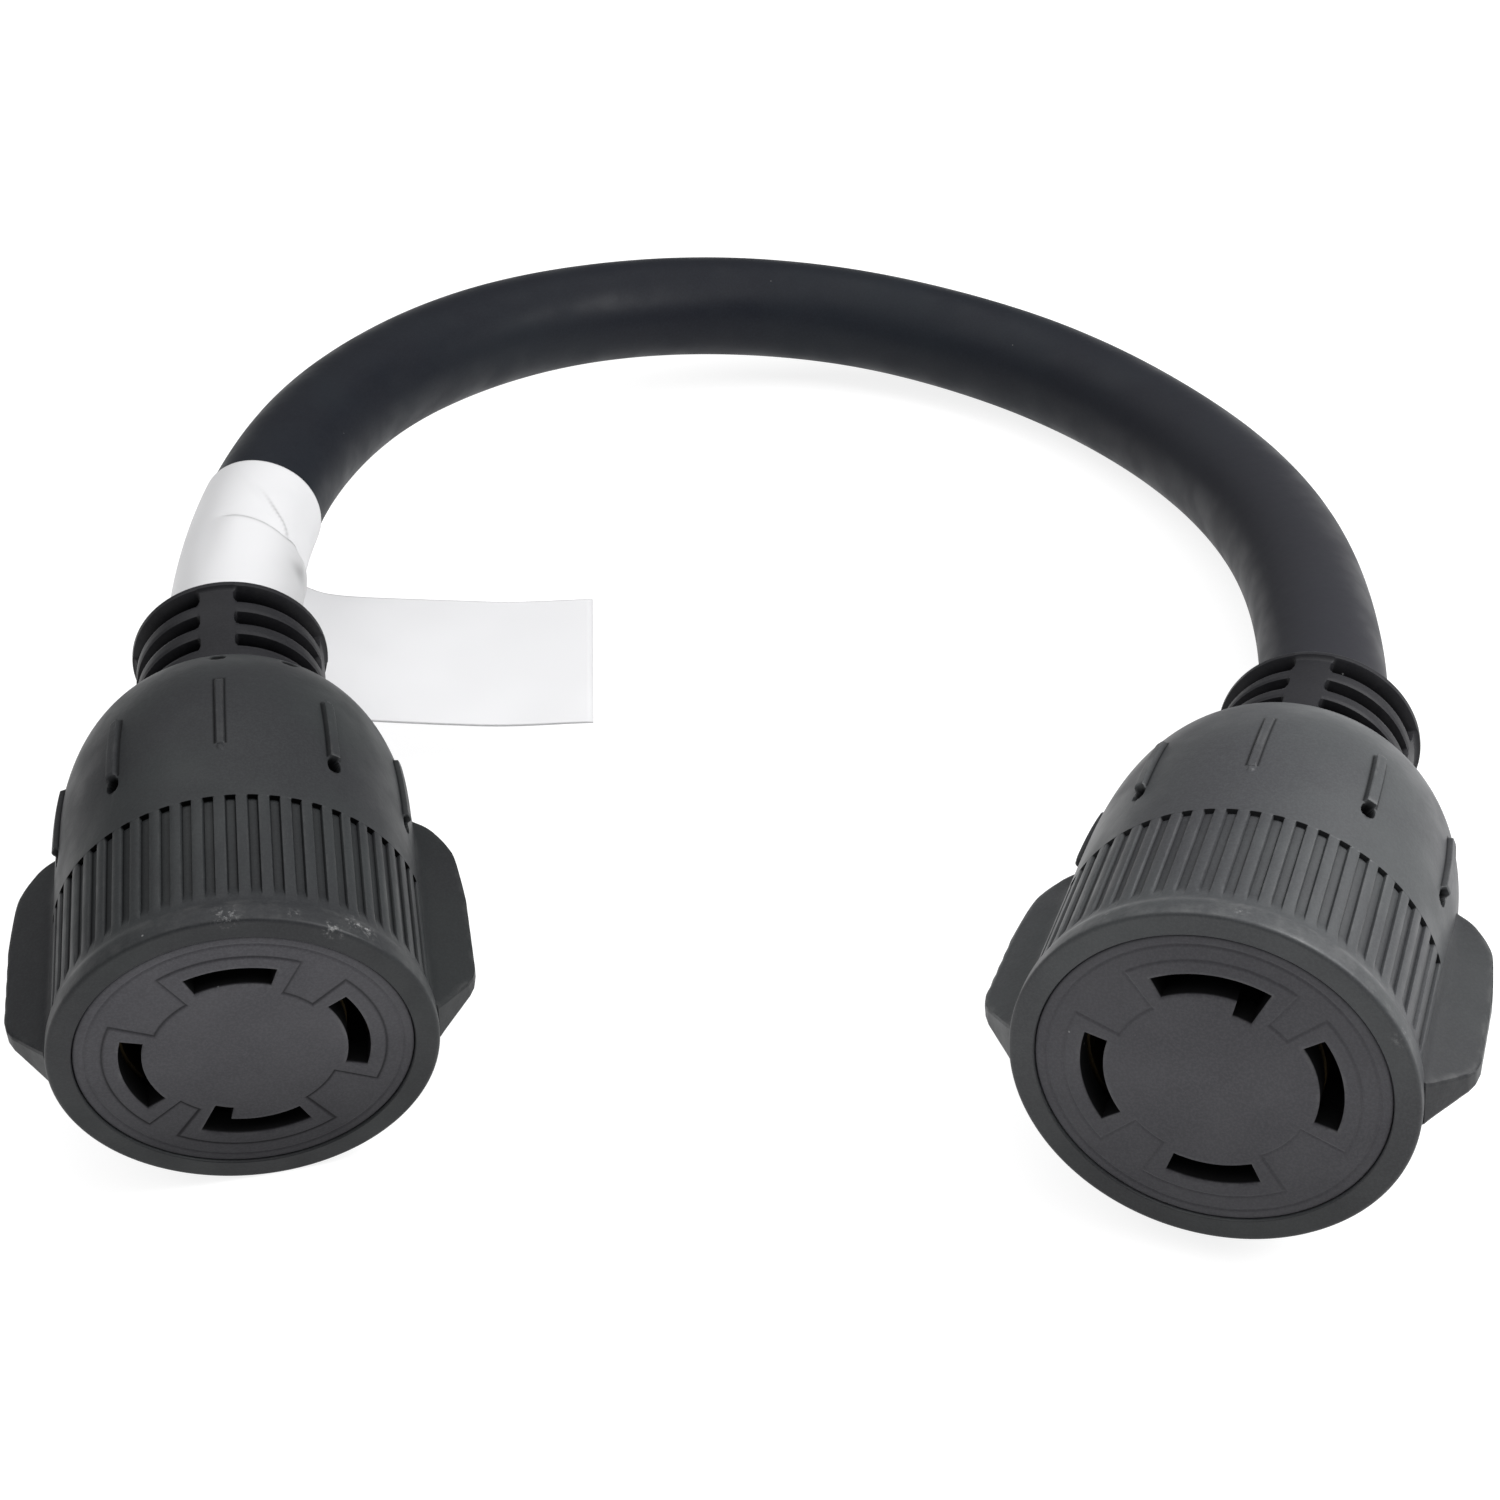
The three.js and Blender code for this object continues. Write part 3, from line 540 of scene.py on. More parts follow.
# ---------------------------------------------------------------- label
LABEL_START = 2.8 + RELIEF_END - JACKET_START
LABEL_LENGTH = 40.8
LABEL_RADIUS = 10.78
LABEL_ROWS = 120
LABEL_RIM_GREY = 0.22
LABEL_THICKNESS = 0.16
WRAP_FIRST, WRAP_LAST, WRAP_COUNT = -58, 258, 110  # angles round the cable, 0 at its right and 90 on top
# The tail's middle line, as reach and drop from its root.
TAIL = [(3.2, 1.2), (5.5, 3.8), (9, 5.9), (14, 7.3), (21.5, 8.8),
        (30, 10.4), (40, 12.2), (50, 13.8), (59, 15.0)]
TAIL_COUNT = 46
TAIL_ROOT_X = -83.7
TAIL_FRONT_Y = 64.2
TAIL_WIDTH = 36.4
TAIL_HEADING = (0.9988, 0.049)
TAIL_HALF_GAP = 0.10


def tail_profile():
    """The tail's middle line as (reach, drop) points from its root, smoothed."""
    tail = np.array(TAIL)
    lengths = np.concatenate([[0], np.cumsum(np.linalg.norm(np.diff(tail, axis=0), axis=1))])
    fine = np.linspace(0, lengths[-1], TAIL_COUNT)
    tail = np.stack([np.interp(fine, lengths, tail[:, k]) for k in (0, 1)], 1)
    for _ in range(6):
        tail[1:-1] = (tail[:-2] + 2 * tail[1:-1] + tail[2:]) / 4
    return tail


def tail_point(share, root_z, reach, drop, lift):
    """A point of the tail, at a share of its width, that droops at its middle and curls at its corners."""
    droop = 0.5 * np.sin(np.pi * share) + 0.8 * (share - 0.5)
    curl = 0.9 * smooth_step(40, 60, reach) * (share - 0.5) ** 2 * 4
    return np.array([
        TAIL_ROOT_X + reach * TAIL_HEADING[0],
        TAIL_FRONT_Y + TAIL_WIDTH * share + reach * TAIL_HEADING[1],
        root_z - drop + lift + curl + droop * smooth_step(5, 40, reach) * 0.8,
    ])


def wrap_surface(share, turn):
    """How far the wrap stands off the cable and how much shade is painted on it, by share of its width and
    turn in radians.
    """
    angle = math.degrees(turn)
    fold = 0.528 + 0.0006 * (angle - 60)  # where the long crease lies, as a share of the width
    second = 0.60 + 0.006 * (angle - 45)  # and the short one that meets it
    lift = 0.75 * (1 - smooth_step(fold - 0.012, fold + 0.012, share)) * smooth_step(112, 80, angle) \
        * smooth_step(fold - 0.45, fold - 0.02, share)
    lift += 0.5 * bump(share - second, 0.03) * bump(angle - 42, 26)
    lift -= 0.35 * bump(share - fold - 0.03, 0.025) * bump(angle - 30, 30)
    lift += 0.4 * bump(share - 0.42, 0.05) * bump(angle - 12, 14)
    lift += 0.10 * bump(angle - 35, 38) * math.sin(share * 31 + 3 * turn)
    lift += 0.22 * smooth_step(-20, -55, angle)
    # painted shade: dark lines in the two creases, on the wrap's shaded right side and beside the small bulge
    painted_wrap_shade = bump(share - fold, 0.014) * smooth_step(100, 84, angle) * smooth_step(-10, 20, angle)
    painted_wrap_shade += 0.6 * bump(share - second - 0.02, 0.014) * bump(angle - 45, 18)
    painted_wrap_shade += 0.44 * bump(angle - 4, 34) * smooth_step(fold + 0.03, fold - 0.03, share)
    painted_wrap_shade += 0.3 * bump(share - 0.38, 0.03) * bump(angle - 14, 10)
    return lift, painted_wrap_shade


def make_label():
    """A strip wrapped round the cable, its two ends stuck together as a drooping tail."""
    arc = np.linspace(0, LINE_LENGTH, len(LINE))
    side, up = frames_along(LINE)
    tail = tail_profile()
    turns = np.radians(np.linspace(WRAP_FIRST, WRAP_LAST, WRAP_COUNT))
    points, painted_shade_and_rim_grey = [], []
    for row in range(LABEL_ROWS):
        share = row / (LABEL_ROWS - 1)
        at = LABEL_START + LABEL_LENGTH * share
        middle, right, top = (
            np.array([np.interp(at, arc, v[:, k]) for k in range(3)]) for v in (LINE, side, up))
        root_z = middle[2] - LABEL_RADIUS - 0.3
        line = [tail_point(share, root_z, reach, drop, TAIL_HALF_GAP) for reach, drop in tail[::-1]]
        painted_wrap_shades = []
        for turn in turns:
            lift, painted_wrap_shade = wrap_surface(share, turn)
            line.append(middle + (LABEL_RADIUS + lift) * (math.cos(turn) * right + math.sin(turn) * top))
            painted_wrap_shades.append(painted_wrap_shade)
        for reach, drop in tail:
            gap = TAIL_HALF_GAP + 1.6 * smooth_step(12, 2, reach)
            line.append(tail_point(share, root_z, reach, drop, -gap))
        points.append(line)
        # grey along the strip's two cut edges
        rim = LABEL_RIM_GREY if row in (0, LABEL_ROWS - 1) else 0.0
        painted_shade_and_rim_grey.append([rim] * len(tail) + [min(1, rim + v) for v in painted_wrap_shades] + [rim] * len(tail))
    points = np.array(points)
    for bend in (len(tail), len(tail) + len(turns)):
        for _ in range(5):
            near = points[:, bend - 7:bend + 7].copy()
            points[:, bend - 6:bend + 6] = (near[:, :-2] + 2 * near[:, 1:-1] + near[:, 2:]) / 4
    faces = grid_faces(LABEL_ROWS, points.shape[1], close_columns=False)
    obj = add_piece("label_wrap_and_tail", points.reshape(-1, 3), faces, LABEL, ["label_wrap"],
                    {"edge": np.array(painted_shade_and_rim_grey).ravel()}, sharp=60)
    thick = obj.modifiers.new("thickness", "SOLIDIFY")
    thick.thickness = LABEL_THICKNESS * MM
    thick.offset = 0
    return obj


label = make_label()


# ---------------------------------------------------------------- grip
# Light rub marks on each face ring: angle, depth, reach in mm and strength.
SCUFFS = {
    "a": [(89, 1.2, 1.3, 0.9), (51, 2.9, 1.1, 1.0), (46, 2.6, 1.0, 1.0), (58, 0.3, 1.2, 0.8),
          (70, 1.5, 0.7, 0.5)],
    "b": [(205, 0.8, 1.0, 0.6), (262, 1.8, 0.9, 0.5), (300, 2.2, 0.8, 0.4)],
}
SCUFF_MM_PER_DEGREE = 0.47


def barrel_radius(depth):
    return BARREL_RADIUS + BARREL_SPREAD * (depth - RING_END) / (DOME_START - RING_END)


def dome_radius(depth):
    share = np.clip((np.asarray(depth, float) - DOME_START) / DOME_REACH, 0, 1)
    return DOME_RADIUS * np.cbrt(1 - share ** 3)


def grip_angles():
    """Column angles: the corners of every groove, and close spacing over every dome rib."""
    in_groove = (0, 1.1, 1.38, 1.5, 1.6, 1.85, 2.5)
    offsets = [-d for d in in_groove[1:]] + list(in_groove) + [GROOVE_PITCH / 2]
    angles = [k * GROOVE_PITCH + d for k in range(GROOVES_PER_TURN) for d in offsets]
    for k in range(360 // RIB_PITCH):
        middle = (90 + RIB_PITCH * k) % 360
        angles += [middle + RIB_SHIFTS[middle > 180] + d for d in np.arange(-3.0, 3.01, 0.33)]
    angles = np.unique(np.round(np.array(angles) % 360, 2))
    keep = np.concatenate([[True], np.diff(angles) > 0.11])
    return angles[keep]


def grip_rows():
    """(radius, depth, how much the surface relief acts) round the whole closed profile."""
    front = [(BORE_RADIUS, 6.0), (BORE_RADIUS, 0.35), (BORE_RADIUS + 0.06, 0.12), (BORE_RADIUS + 0.2, 0.0)]
    face = path_rows([(BORE_RADIUS + 0.2, 0.0), (26.8, 0.0)], 1.4)[1:]
    corner = quarter_round((FACE_RADIUS - 0.6, 0.6), 0.6, -90, 0)
    ring = path_rows([(FACE_RADIUS, 0.6), (FACE_RADIUS, 2.7)], 0.8)[1:]
    flare = [(27.42, 3.2), (27.25, 3.7), (27.08, 4.3), (BARREL_RADIUS, RING_END)]
    rows = [(r, u, 0.0) for r, u in front + face + corner + ring + flare]
    barrel = [5.5, 6.0, 6.5, 7.1, 7.8, 9.5, 12, 16, 20, 23.6,
              24.4, 24.65, 24.85, 25.05, 25.12, 25.2, 25.34, 25.6]
    rows += [(barrel_radius(u), u, 1.0) for u in barrel]
    dome = np.concatenate([np.arange(*span) for span in (
        (26.6, 33.6, 1.6), (33.6, 36.9, 0.22), (37.3, 48.4, 1.1), (48.6, 52.5, 0.3),
        (52.9, 60.0, 0.9), (60.0, 63.0, 0.4), (63.4, DOME_END, 0.7))])
    rows += [(float(dome_radius(u) if u > DOME_START else barrel_radius(u)), float(u), 1.0) for u in dome]
    end = float(dome_radius(DOME_END))
    lip = [(end - 0.12, 67.35), (end - 0.4, 67.6), (end - 0.75, 67.7), (RELIEF_RADIUS + 0.35, 67.7),
           (RELIEF_RADIUS + 0.25, 67.5)]
    inside = [(RELIEF_RADIUS + 0.25, 60), (17.5, 59.6), (17.5, 55), (BORE_RADIUS, 42)]
    return rows + [(r, u, 0.0) for r, u in lip + inside]


def grip_relief(angle, depth):
    """How far the grip's surface stands proud at an angle and depth, its painted shade and its edge marks."""
    # the grooves, which fade out at the ring and end in a pit, and the crowned lands between them
    offset = np.abs((angle + GROOVE_PITCH / 2) % GROOVE_PITCH - GROOVE_PITCH / 2)
    grooved = np.minimum(angle % 180, 180 - angle % 180) > WING_CLEARANCE
    slot = (1 - smooth_step(GROOVE_HALF - 0.1, GROOVE_HALF + 0.08, offset)) * grooved
    fade = smooth_step(4.7, 7.6, depth) * (depth < GROOVE_END)
    pit = smooth_step(24.6, 24.9, depth) * (depth < GROOVE_END)
    line = bump(offset - GROOVE_HALF + 0.2, 0.16) * grooved
    crown = np.clip((GROOVE_PITCH / 2 - offset) / (GROOVE_PITCH / 2 - GROOVE_HALF), 0, 1) ** 2
    groove = slot * (GROOVE_DEPTH * fade + GROOVE_PIT_DEPTH * pit) + 0.06 * line * fade
    groove = groove + LAND_CROWN * crown * (1 - slot) * fade * grooved
    # the ribs on the dome
    shift = np.where(angle > 180, RIB_SHIFTS[1], RIB_SHIFTS[0])
    around = (angle - shift - 90 + RIB_PITCH / 2) % RIB_PITCH - RIB_PITCH / 2
    faint = np.abs((angle % 180) - 90) < MIDDLE_RIB_REACH
    across = np.abs(np.radians(around)) * dome_radius(depth)
    back = np.where(faint, np.where(angle > 180, MIDDLE_RIB_BACKS[1], MIDDLE_RIB_BACKS[0]), RIB_BACK)
    half = np.where(faint, MIDDLE_RIB_HALF, RIB_HALF)
    beyond = np.maximum(depth - back + half, 0)
    reach = np.where(faint, np.maximum(across, beyond), np.hypot(across, beyond)) + RIB_HALF - half
    height = np.where(faint, MIDDLE_RIB_HEIGHT, RIB_HEIGHT)
    height = height * smooth_step(RIB_FRONT - 0.1, RIB_FRONT + 0.25, depth)
    rib = height * (1 - smooth_step(RIB_HALF - 0.15, RIB_HALF + 0.15, reach))
    # a hole in front of each full rib, and a shallow dot in front of each faint one
    hole = (np.abs(across / HOLE_HALF_SIZES[0]) ** HOLE_POWER
            + np.abs((depth - HOLE_DEPTH) / HOLE_HALF_SIZES[1]) ** HOLE_POWER) ** (1 / HOLE_POWER)
    dimple = np.where(faint, 0.0, 1.7) * (1 - smooth_step(0.88, 1.06, hole))
    dot = np.hypot(across / DOT_HALF_SIZES[0], (depth - DOT_DEPTH) / DOT_HALF_SIZES[1])
    dimple = dimple - np.where(faint, 0.22, 0.0) * (1 - smooth_step(0.7, 1.2, dot))
    # the shade in the grooves, round the ribs and in the holes
    wall = (depth > 24.95) & (depth < 25.25)
    rib_foot = 0.8 * bump(reach - RIB_HALF - 0.2, 0.2) * (depth > RIB_FRONT)
    in_hole = np.where(faint, 0, 1) * (1 - smooth_step(0.95, 1.2, hole))
    painted_shade = np.clip(0.5 * line * fade + 0.3 * slot * fade + slot * wall + in_hole + rib_foot, 0, 1)
    # two small shallow pits on the upper side near the strain relief, painted dark as shade
    lip_angle = np.minimum(*(np.abs(angle_between(angle, at)) for at in LIP_MARK_ANGLES))
    lip_across = np.radians(lip_angle) * dome_radius(LIP_MARK_DEPTH) / LIP_MARK_HALF_SIZES[0]
    lip_mark = np.hypot(lip_across, (depth - LIP_MARK_DEPTH) / LIP_MARK_HALF_SIZES[1])
    in_lip_mark = 1 - smooth_step(0.75, 1.15, lip_mark)
    painted_shade = np.maximum(painted_shade, in_lip_mark)
    dimple = dimple + 0.3 * in_lip_mark
    # lighter edges: wear along the lands' edges, painted highlight along the ribs, and a painted glint on the
    # dot in front of each faint rib
    edge = (bump(offset - 1.85, 0.3) * fade * grooved * 0.5
            + bump(reach - (RIB_HALF - 0.25), 0.25) * (depth > RIB_FRONT) * 0.6
            + np.where(faint, 1.0, 0.0) * bump(dot, 0.7))
    return rib - groove - dimple, painted_shade, edge


def wing_back(across):
    """The depth of a wing's rear outline, which rounds off towards its tip."""
    start, stop = WING_SLOPE
    if across <= start:
        return WING_BACK
    share = (across - start) / (stop - start)
    corner = max(0, (across - WING_CORNER) / WING_CORNER_WIDTH)
    return WING_SLOPE_DEPTH - WING_SLOPE_REACH * min(share, 1) ** 2.3 - WING_CORNER_REACH * corner ** 2


def wing_mesh():
    """The ear on the +X side: its points, mirrored about its middle plane, its faces and the painted
    highlight along its edge.
    """
    across = np.concatenate([np.linspace(WING_ROOT, 31.4, 22), np.linspace(31.4, WING_TIP, 16)[1:]])
    front = np.interp(across, *zip(*WING_FRONT))
    back = np.array([wing_back(w) for w in across])
    back[-1] = min(back[-1], WING_TIP_BACK)
    shares = np.concatenate([[0, 0.006, 0.014, 0.026, 0.045], np.linspace(0.08, 0.92, 26),
                             [0.955, 0.974, 0.986, 0.994, 1]])
    outline = np.concatenate([np.stack([across, front], 1), np.stack([across, back], 1)[::-1]])
    fine = []
    for before, after in zip(outline, outline[1:]):
        count = max(1, int(np.linalg.norm(after - before) / 0.25))
        fine += [before + (after - before) * k / count for k in range(count)]
    fine = np.array(fine)
    fine = fine[fine[:, 0] > WING_ROOT + 0.3]
    top, worn = [], []
    thick, thin = WING_HALVES
    for w, first, last in zip(across, front, back):
        half = thick + (thin - thick) * (w - WING_FLAT_START) / (WING_TIP - WING_FLAT_START)
        half += WING_FILLET * math.exp(-max(w - 26.5, 0) / 0.55)
        for share in shares:
            u = first + (last - first) * share
            away = float(np.min(np.hypot(fine[:, 0] - w, fine[:, 1] - u)))
            inward = WING_ROUNDING - min(away, WING_ROUNDING)
            taper = 1 - 0.35 * smooth_step(30, 41, u)
            height = half * taper - WING_ROUNDING + math.sqrt(max(WING_ROUNDING ** 2 - inward ** 2, 0))
            top.append((w, u, max(height, 0.35)))
            # painted highlight near the wing's rim
            worn.append(float(bump(away - 0.35, 0.4)))
    top = np.array(top)
    rows, columns = len(across), len(shares)
    points = np.concatenate([top, top * np.array([1, 1, -1])])
    faces = grid_faces(rows, columns, close_columns=False)
    faces = faces.tolist() + (faces[:, ::-1] + len(top)).tolist()
    rim = [r * columns for r in range(rows)]
    rim += [(rows - 1) * columns + c for c in range(1, columns)]
    rim += [r * columns + columns - 1 for r in range(rows - 2, -1, -1)]
    rim += list(range(columns - 2, 0, -1))
    for p, q in zip(rim, rim[1:] + rim[:1]):
        faces.append([p, p + len(top), q + len(top), q])
    return points, np.array(faces), np.array(worn + worn)


def make_grip(tag):
    """The overmould and its two wings, with the painted shade and highlights, the wear and the scuffs of this
    connector.
    """
    angles = grip_angles()
    rows = grip_rows()
    radius, depth, act = (np.array([row[k] for row in rows])[:, None] for k in range(3))
    proud, painted_shade, edge = grip_relief(angles[None, :], depth)
    painted_shade = painted_shade * np.where(depth < DOME_START, GROOVE_SHADES[tag], 1.0)
    surface = radius + act * proud
    # painted shade on the lower side of the face ring
    high = np.sin(np.radians(angles)[None, :]) * math.cos(math.radians(CONNECTORS[tag]["roll"]))
    underneath = smooth_step(0.3, -0.9, high)
    painted_shade = np.maximum(painted_shade * act, RING_SHADES[tag] * underneath * (depth < 1.2) * (radius > 24))
    ring_edge = bump(radius - 27.3, 0.35) * (depth < 4) * (depth > 0.2)
    edge = np.clip(edge * act + ring_edge, 0, 1)
    scuff = np.zeros_like(surface)
    on_disc_side = radius < 26.2
    for where, at, wide, strength in SCUFFS[tag]:
        around = angle_between(angles[None, :], where) * SCUFF_MM_PER_DEGREE
        away = np.hypot(around, np.where(on_disc_side, 9, depth - at))
        scuff = np.maximum(scuff, strength * bump(away, wide))
    marks = {"edge": edge.ravel(), "painted_shade": painted_shade.ravel(), "scuff": scuff.ravel()}
    faces = grid_faces(len(rows), len(angles), close_rows=True)
    add_piece(f"grip_body_{tag}", in_connector(tag, turned(surface, depth, angles)), faces, GRIP[tag],
              [f"grip_{tag}"], marks)
    wing, wing_faces, wing_edge_highlight = wing_mesh()
    for side in (1, -1):
        placed = in_connector(tag, wing * np.array([side, 1, 1]))
        which = f"{tag}_{'right' if side > 0 else 'left'}"
        # painted shade on the wing's top, and painted highlight along its edge
        wing_marks = {"painted_shade": np.full(len(wing), WING_SHADES[which]), "edge": wing_edge_highlight}
        add_piece(f"grip_wing_{which}", placed, wing_faces, GRIP[tag], [f"grip_{tag}"],
                  wing_marks, sharp=32)


# ---------------------------------------------------------------- strain relief
def make_relief(tag):
    """The collar: its side, rim, end, bore and hidden flange as one closed profile, with slots cut in."""
    web_edges = []
    for quarter in (0, 90, 180, 270):
        for side in (-1, 1):
            edge = quarter + RELIEF_WEB_SHIFT + side * RELIEF_WEB_HALF
            web_edges += [edge + side * d for d in (-1.2, -0.4, 0, 0.4, 0.9, 1.5, 2.2, 3.0, 4.0)]
    angles = np.unique(np.round(np.concatenate([np.arange(0, 360, 3.0), np.array(web_edges) % 360]), 2))
    outer = [(RELIEF_RADIUS, u) for u in np.arange(60.5, 87.1, 0.25)]
    rim = [(RELIEF_RADIUS + 0.1, 87.2), (RELIEF_RADIUS + 0.35, 87.45), (RELIEF_RIM_RADIUS, 87.65)]
    rim += quarter_round((RELIEF_RIM_RADIUS - 0.45, RELIEF_END - 0.45), 0.45, 0, 90)
    end = [(14.0, RELIEF_END), (12.0, RELIEF_END), (11.2, RELIEF_END - 0.05),
           (RELIEF_BORE, RELIEF_END - 0.5)]
    inside = [(RELIEF_BORE, 80), (RELIEF_BORE, 70), (RELIEF_BORE, RELIEF_START)]
    start = [(17.0, RELIEF_START), (17.0, RELIEF_SIDE_START), (RELIEF_RADIUS, RELIEF_SIDE_START)]
    rows = start + outer + rim + end + inside
    radius, depth = (np.array([row[k] for row in rows])[:, None] for k in (0, 1))
    row = np.arange(len(rows))[:, None]
    act = ((row >= len(start)) & (row < len(start) + len(outer) + 3)).astype(float)
    around = np.abs((angles - RELIEF_WEB_SHIFT + 45) % 90 - 45)[None, :]
    from_web = np.radians(around - RELIEF_WEB_HALF) * RELIEF_RADIUS
    open_angle = smooth_step(0, 0.4, from_web)
    slot = np.zeros(np.broadcast(depth, angles).shape)
    lip = np.zeros_like(depth)
    for middle in RELIEF_SLOTS:
        away = np.abs(depth - middle)
        corner_along = np.maximum(RELIEF_SLOT_CORNER - from_web, 0)
        corner_across = np.maximum(away - RELIEF_SLOT_HALF + RELIEF_SLOT_CORNER, 0)
        corner = np.hypot(corner_along, corner_across) - RELIEF_SLOT_CORNER
        slot = np.maximum(slot, 1 - smooth_step(-0.22, 0.05, corner))
        lip = np.maximum(lip, bump(away - RELIEF_SLOT_HALF - 0.1, 0.35))
    cut = act * (RELIEF_SLOT_DEPTH * slot + 0.16 * lip * (1 - slot) * open_angle)
    # painted shade inside the slots
    marks = {"painted_shade": (act * slot).ravel(),
             "edge": np.clip(act * open_angle * lip * 0.5, 0, 1).ravel()}
    faces = grid_faces(len(rows), len(angles), close_rows=True)
    add_piece(f"relief_collar_{tag}", in_connector(tag, turned(radius - cut, depth, angles)), faces, RELIEF,
              [f"strain_relief_{tag}"], marks)


# ---------------------------------------------------------------- face insert
PLATEAU_RADIUS = 13.3
LOBE_RADIUS = 19.8
LOBE_SPARE = 8.0
# painted shade: a dark line round the disc's raised part, and the disc darker towards its bottom
OUTLINE_SHADES = {"a": 0.5, "b": 0.04}
DISC_SHADES = {"a": (0.55, 0.16, 0.0), "b": (0.32, 0.08, 0.2)}  # at the three heights below
DISC_SHADE_HEIGHTS = (-19, 0, 19)  # the disc's lower edge, middle and upper edge


def thinned(values, gap, exact):
    """Sorted values no closer than a gap, with the exact ones winning over their neighbours."""
    kept = [values[0]]
    for v in values[1:]:
        if v - kept[-1] >= gap:
            kept.append(v)
        elif round(v, 3) in exact:
            kept[-1] = v
    return np.array(kept)


def insert_axes():
    """The radii and angles of the disc's grid, with lines on each slot's edges and close to each outline."""
    exact = {round(v, 3) for v in (SLOT_INNER, SLOT_OUTER, HOOK_INNER)}
    radii = list(np.arange(0.6, 23.2, 0.55))
    for r in (SLOT_INNER, SLOT_OUTER, HOOK_INNER):
        radii += [r, r - 0.1, r - 0.25, r + 0.1, r + 0.25]
    for r in (PLATEAU_RADIUS, LOBE_RADIUS, DISC_LINE_RADIUS):
        radii += list(r + np.array([-0.5, -0.35, -0.2, -0.1, 0, 0.1, 0.2, 0.35, 0.5]))
    radii = thinned(np.unique(np.round(radii, 3)), 0.08, exact)
    middle, low, _ = SLOTS[3]
    ends = [middle + end for middle, *span in SLOTS for end in span] + [middle + low + HOOK_SPAN]
    exact = {round(end % 360, 3) for end in ends}
    angles = list(np.arange(0, 360, 2.0))
    for end in ends:
        angles += list(end + np.array([-1.2, -0.45, 0, 0.45, 1.2]))
    for middle, low, high in SLOTS:
        for end in (low - LOBE_SPARE, high + LOBE_SPARE):
            angles += list(middle + end + np.arange(-1.6, 1.61, 0.4))
    angles = thinned(np.unique(np.round(np.array(angles) % 360, 3)), 0.25, exact)
    return radii, angles


def inside_slots(r, a):
    """Whether points at radius r and angle a lie in a blade slot, and how far from one they are."""
    hit = np.zeros(np.broadcast(r, a).shape, bool)
    gap = np.full(hit.shape, 9.0)
    spans = [(m + lo, m + hi, SLOT_INNER, SLOT_OUTER) for m, lo, hi in SLOTS]
    middle, low, _ = SLOTS[3]
    spans.append((middle + low, middle + low + HOOK_SPAN, HOOK_INNER, SLOT_INNER + 0.5))
    for start, stop, inner, outer in spans:
        centre, half = (start + stop) / 2, (stop - start) / 2
        side = (np.abs(angle_between(a, centre)) - half) * np.radians(1) * r
        radial = np.maximum(inner - r, r - outer)
        hit |= (side < 0) & (radial < 0)
        gap = np.minimum(gap, np.hypot(np.maximum(side, 0), np.maximum(radial, 0)))
    return hit, gap


def insert_plateau(r, a):
    """How far inside the raised part of the disc's front a point is, in mm."""
    raised = PLATEAU_RADIUS - r + 0 * a
    for middle, low, high in SLOTS:
        centre, half = middle + (low + high) / 2, (high - low) / 2 + LOBE_SPARE
        side = (half - np.abs(angle_between(a, centre))) * np.radians(1) * r
        raised = np.maximum(raised, np.minimum(LOBE_RADIUS - r, side))
    return raised


def insert_front(r, a):
    """The depth of the insert's front surface."""
    raised = insert_plateau(r, a)
    depth = INSERT_RECESS - 0.12 * smooth_step(-0.15, 0.25, raised)
    depth = depth + 0.10 * bump(raised + 0.05, 0.2)
    depth = depth + 0.16 * bump(r - DISC_LINE_RADIUS, 0.2)
    _, gap = inside_slots(r, a)
    return depth + 0.16 * bump(gap, 0.14)


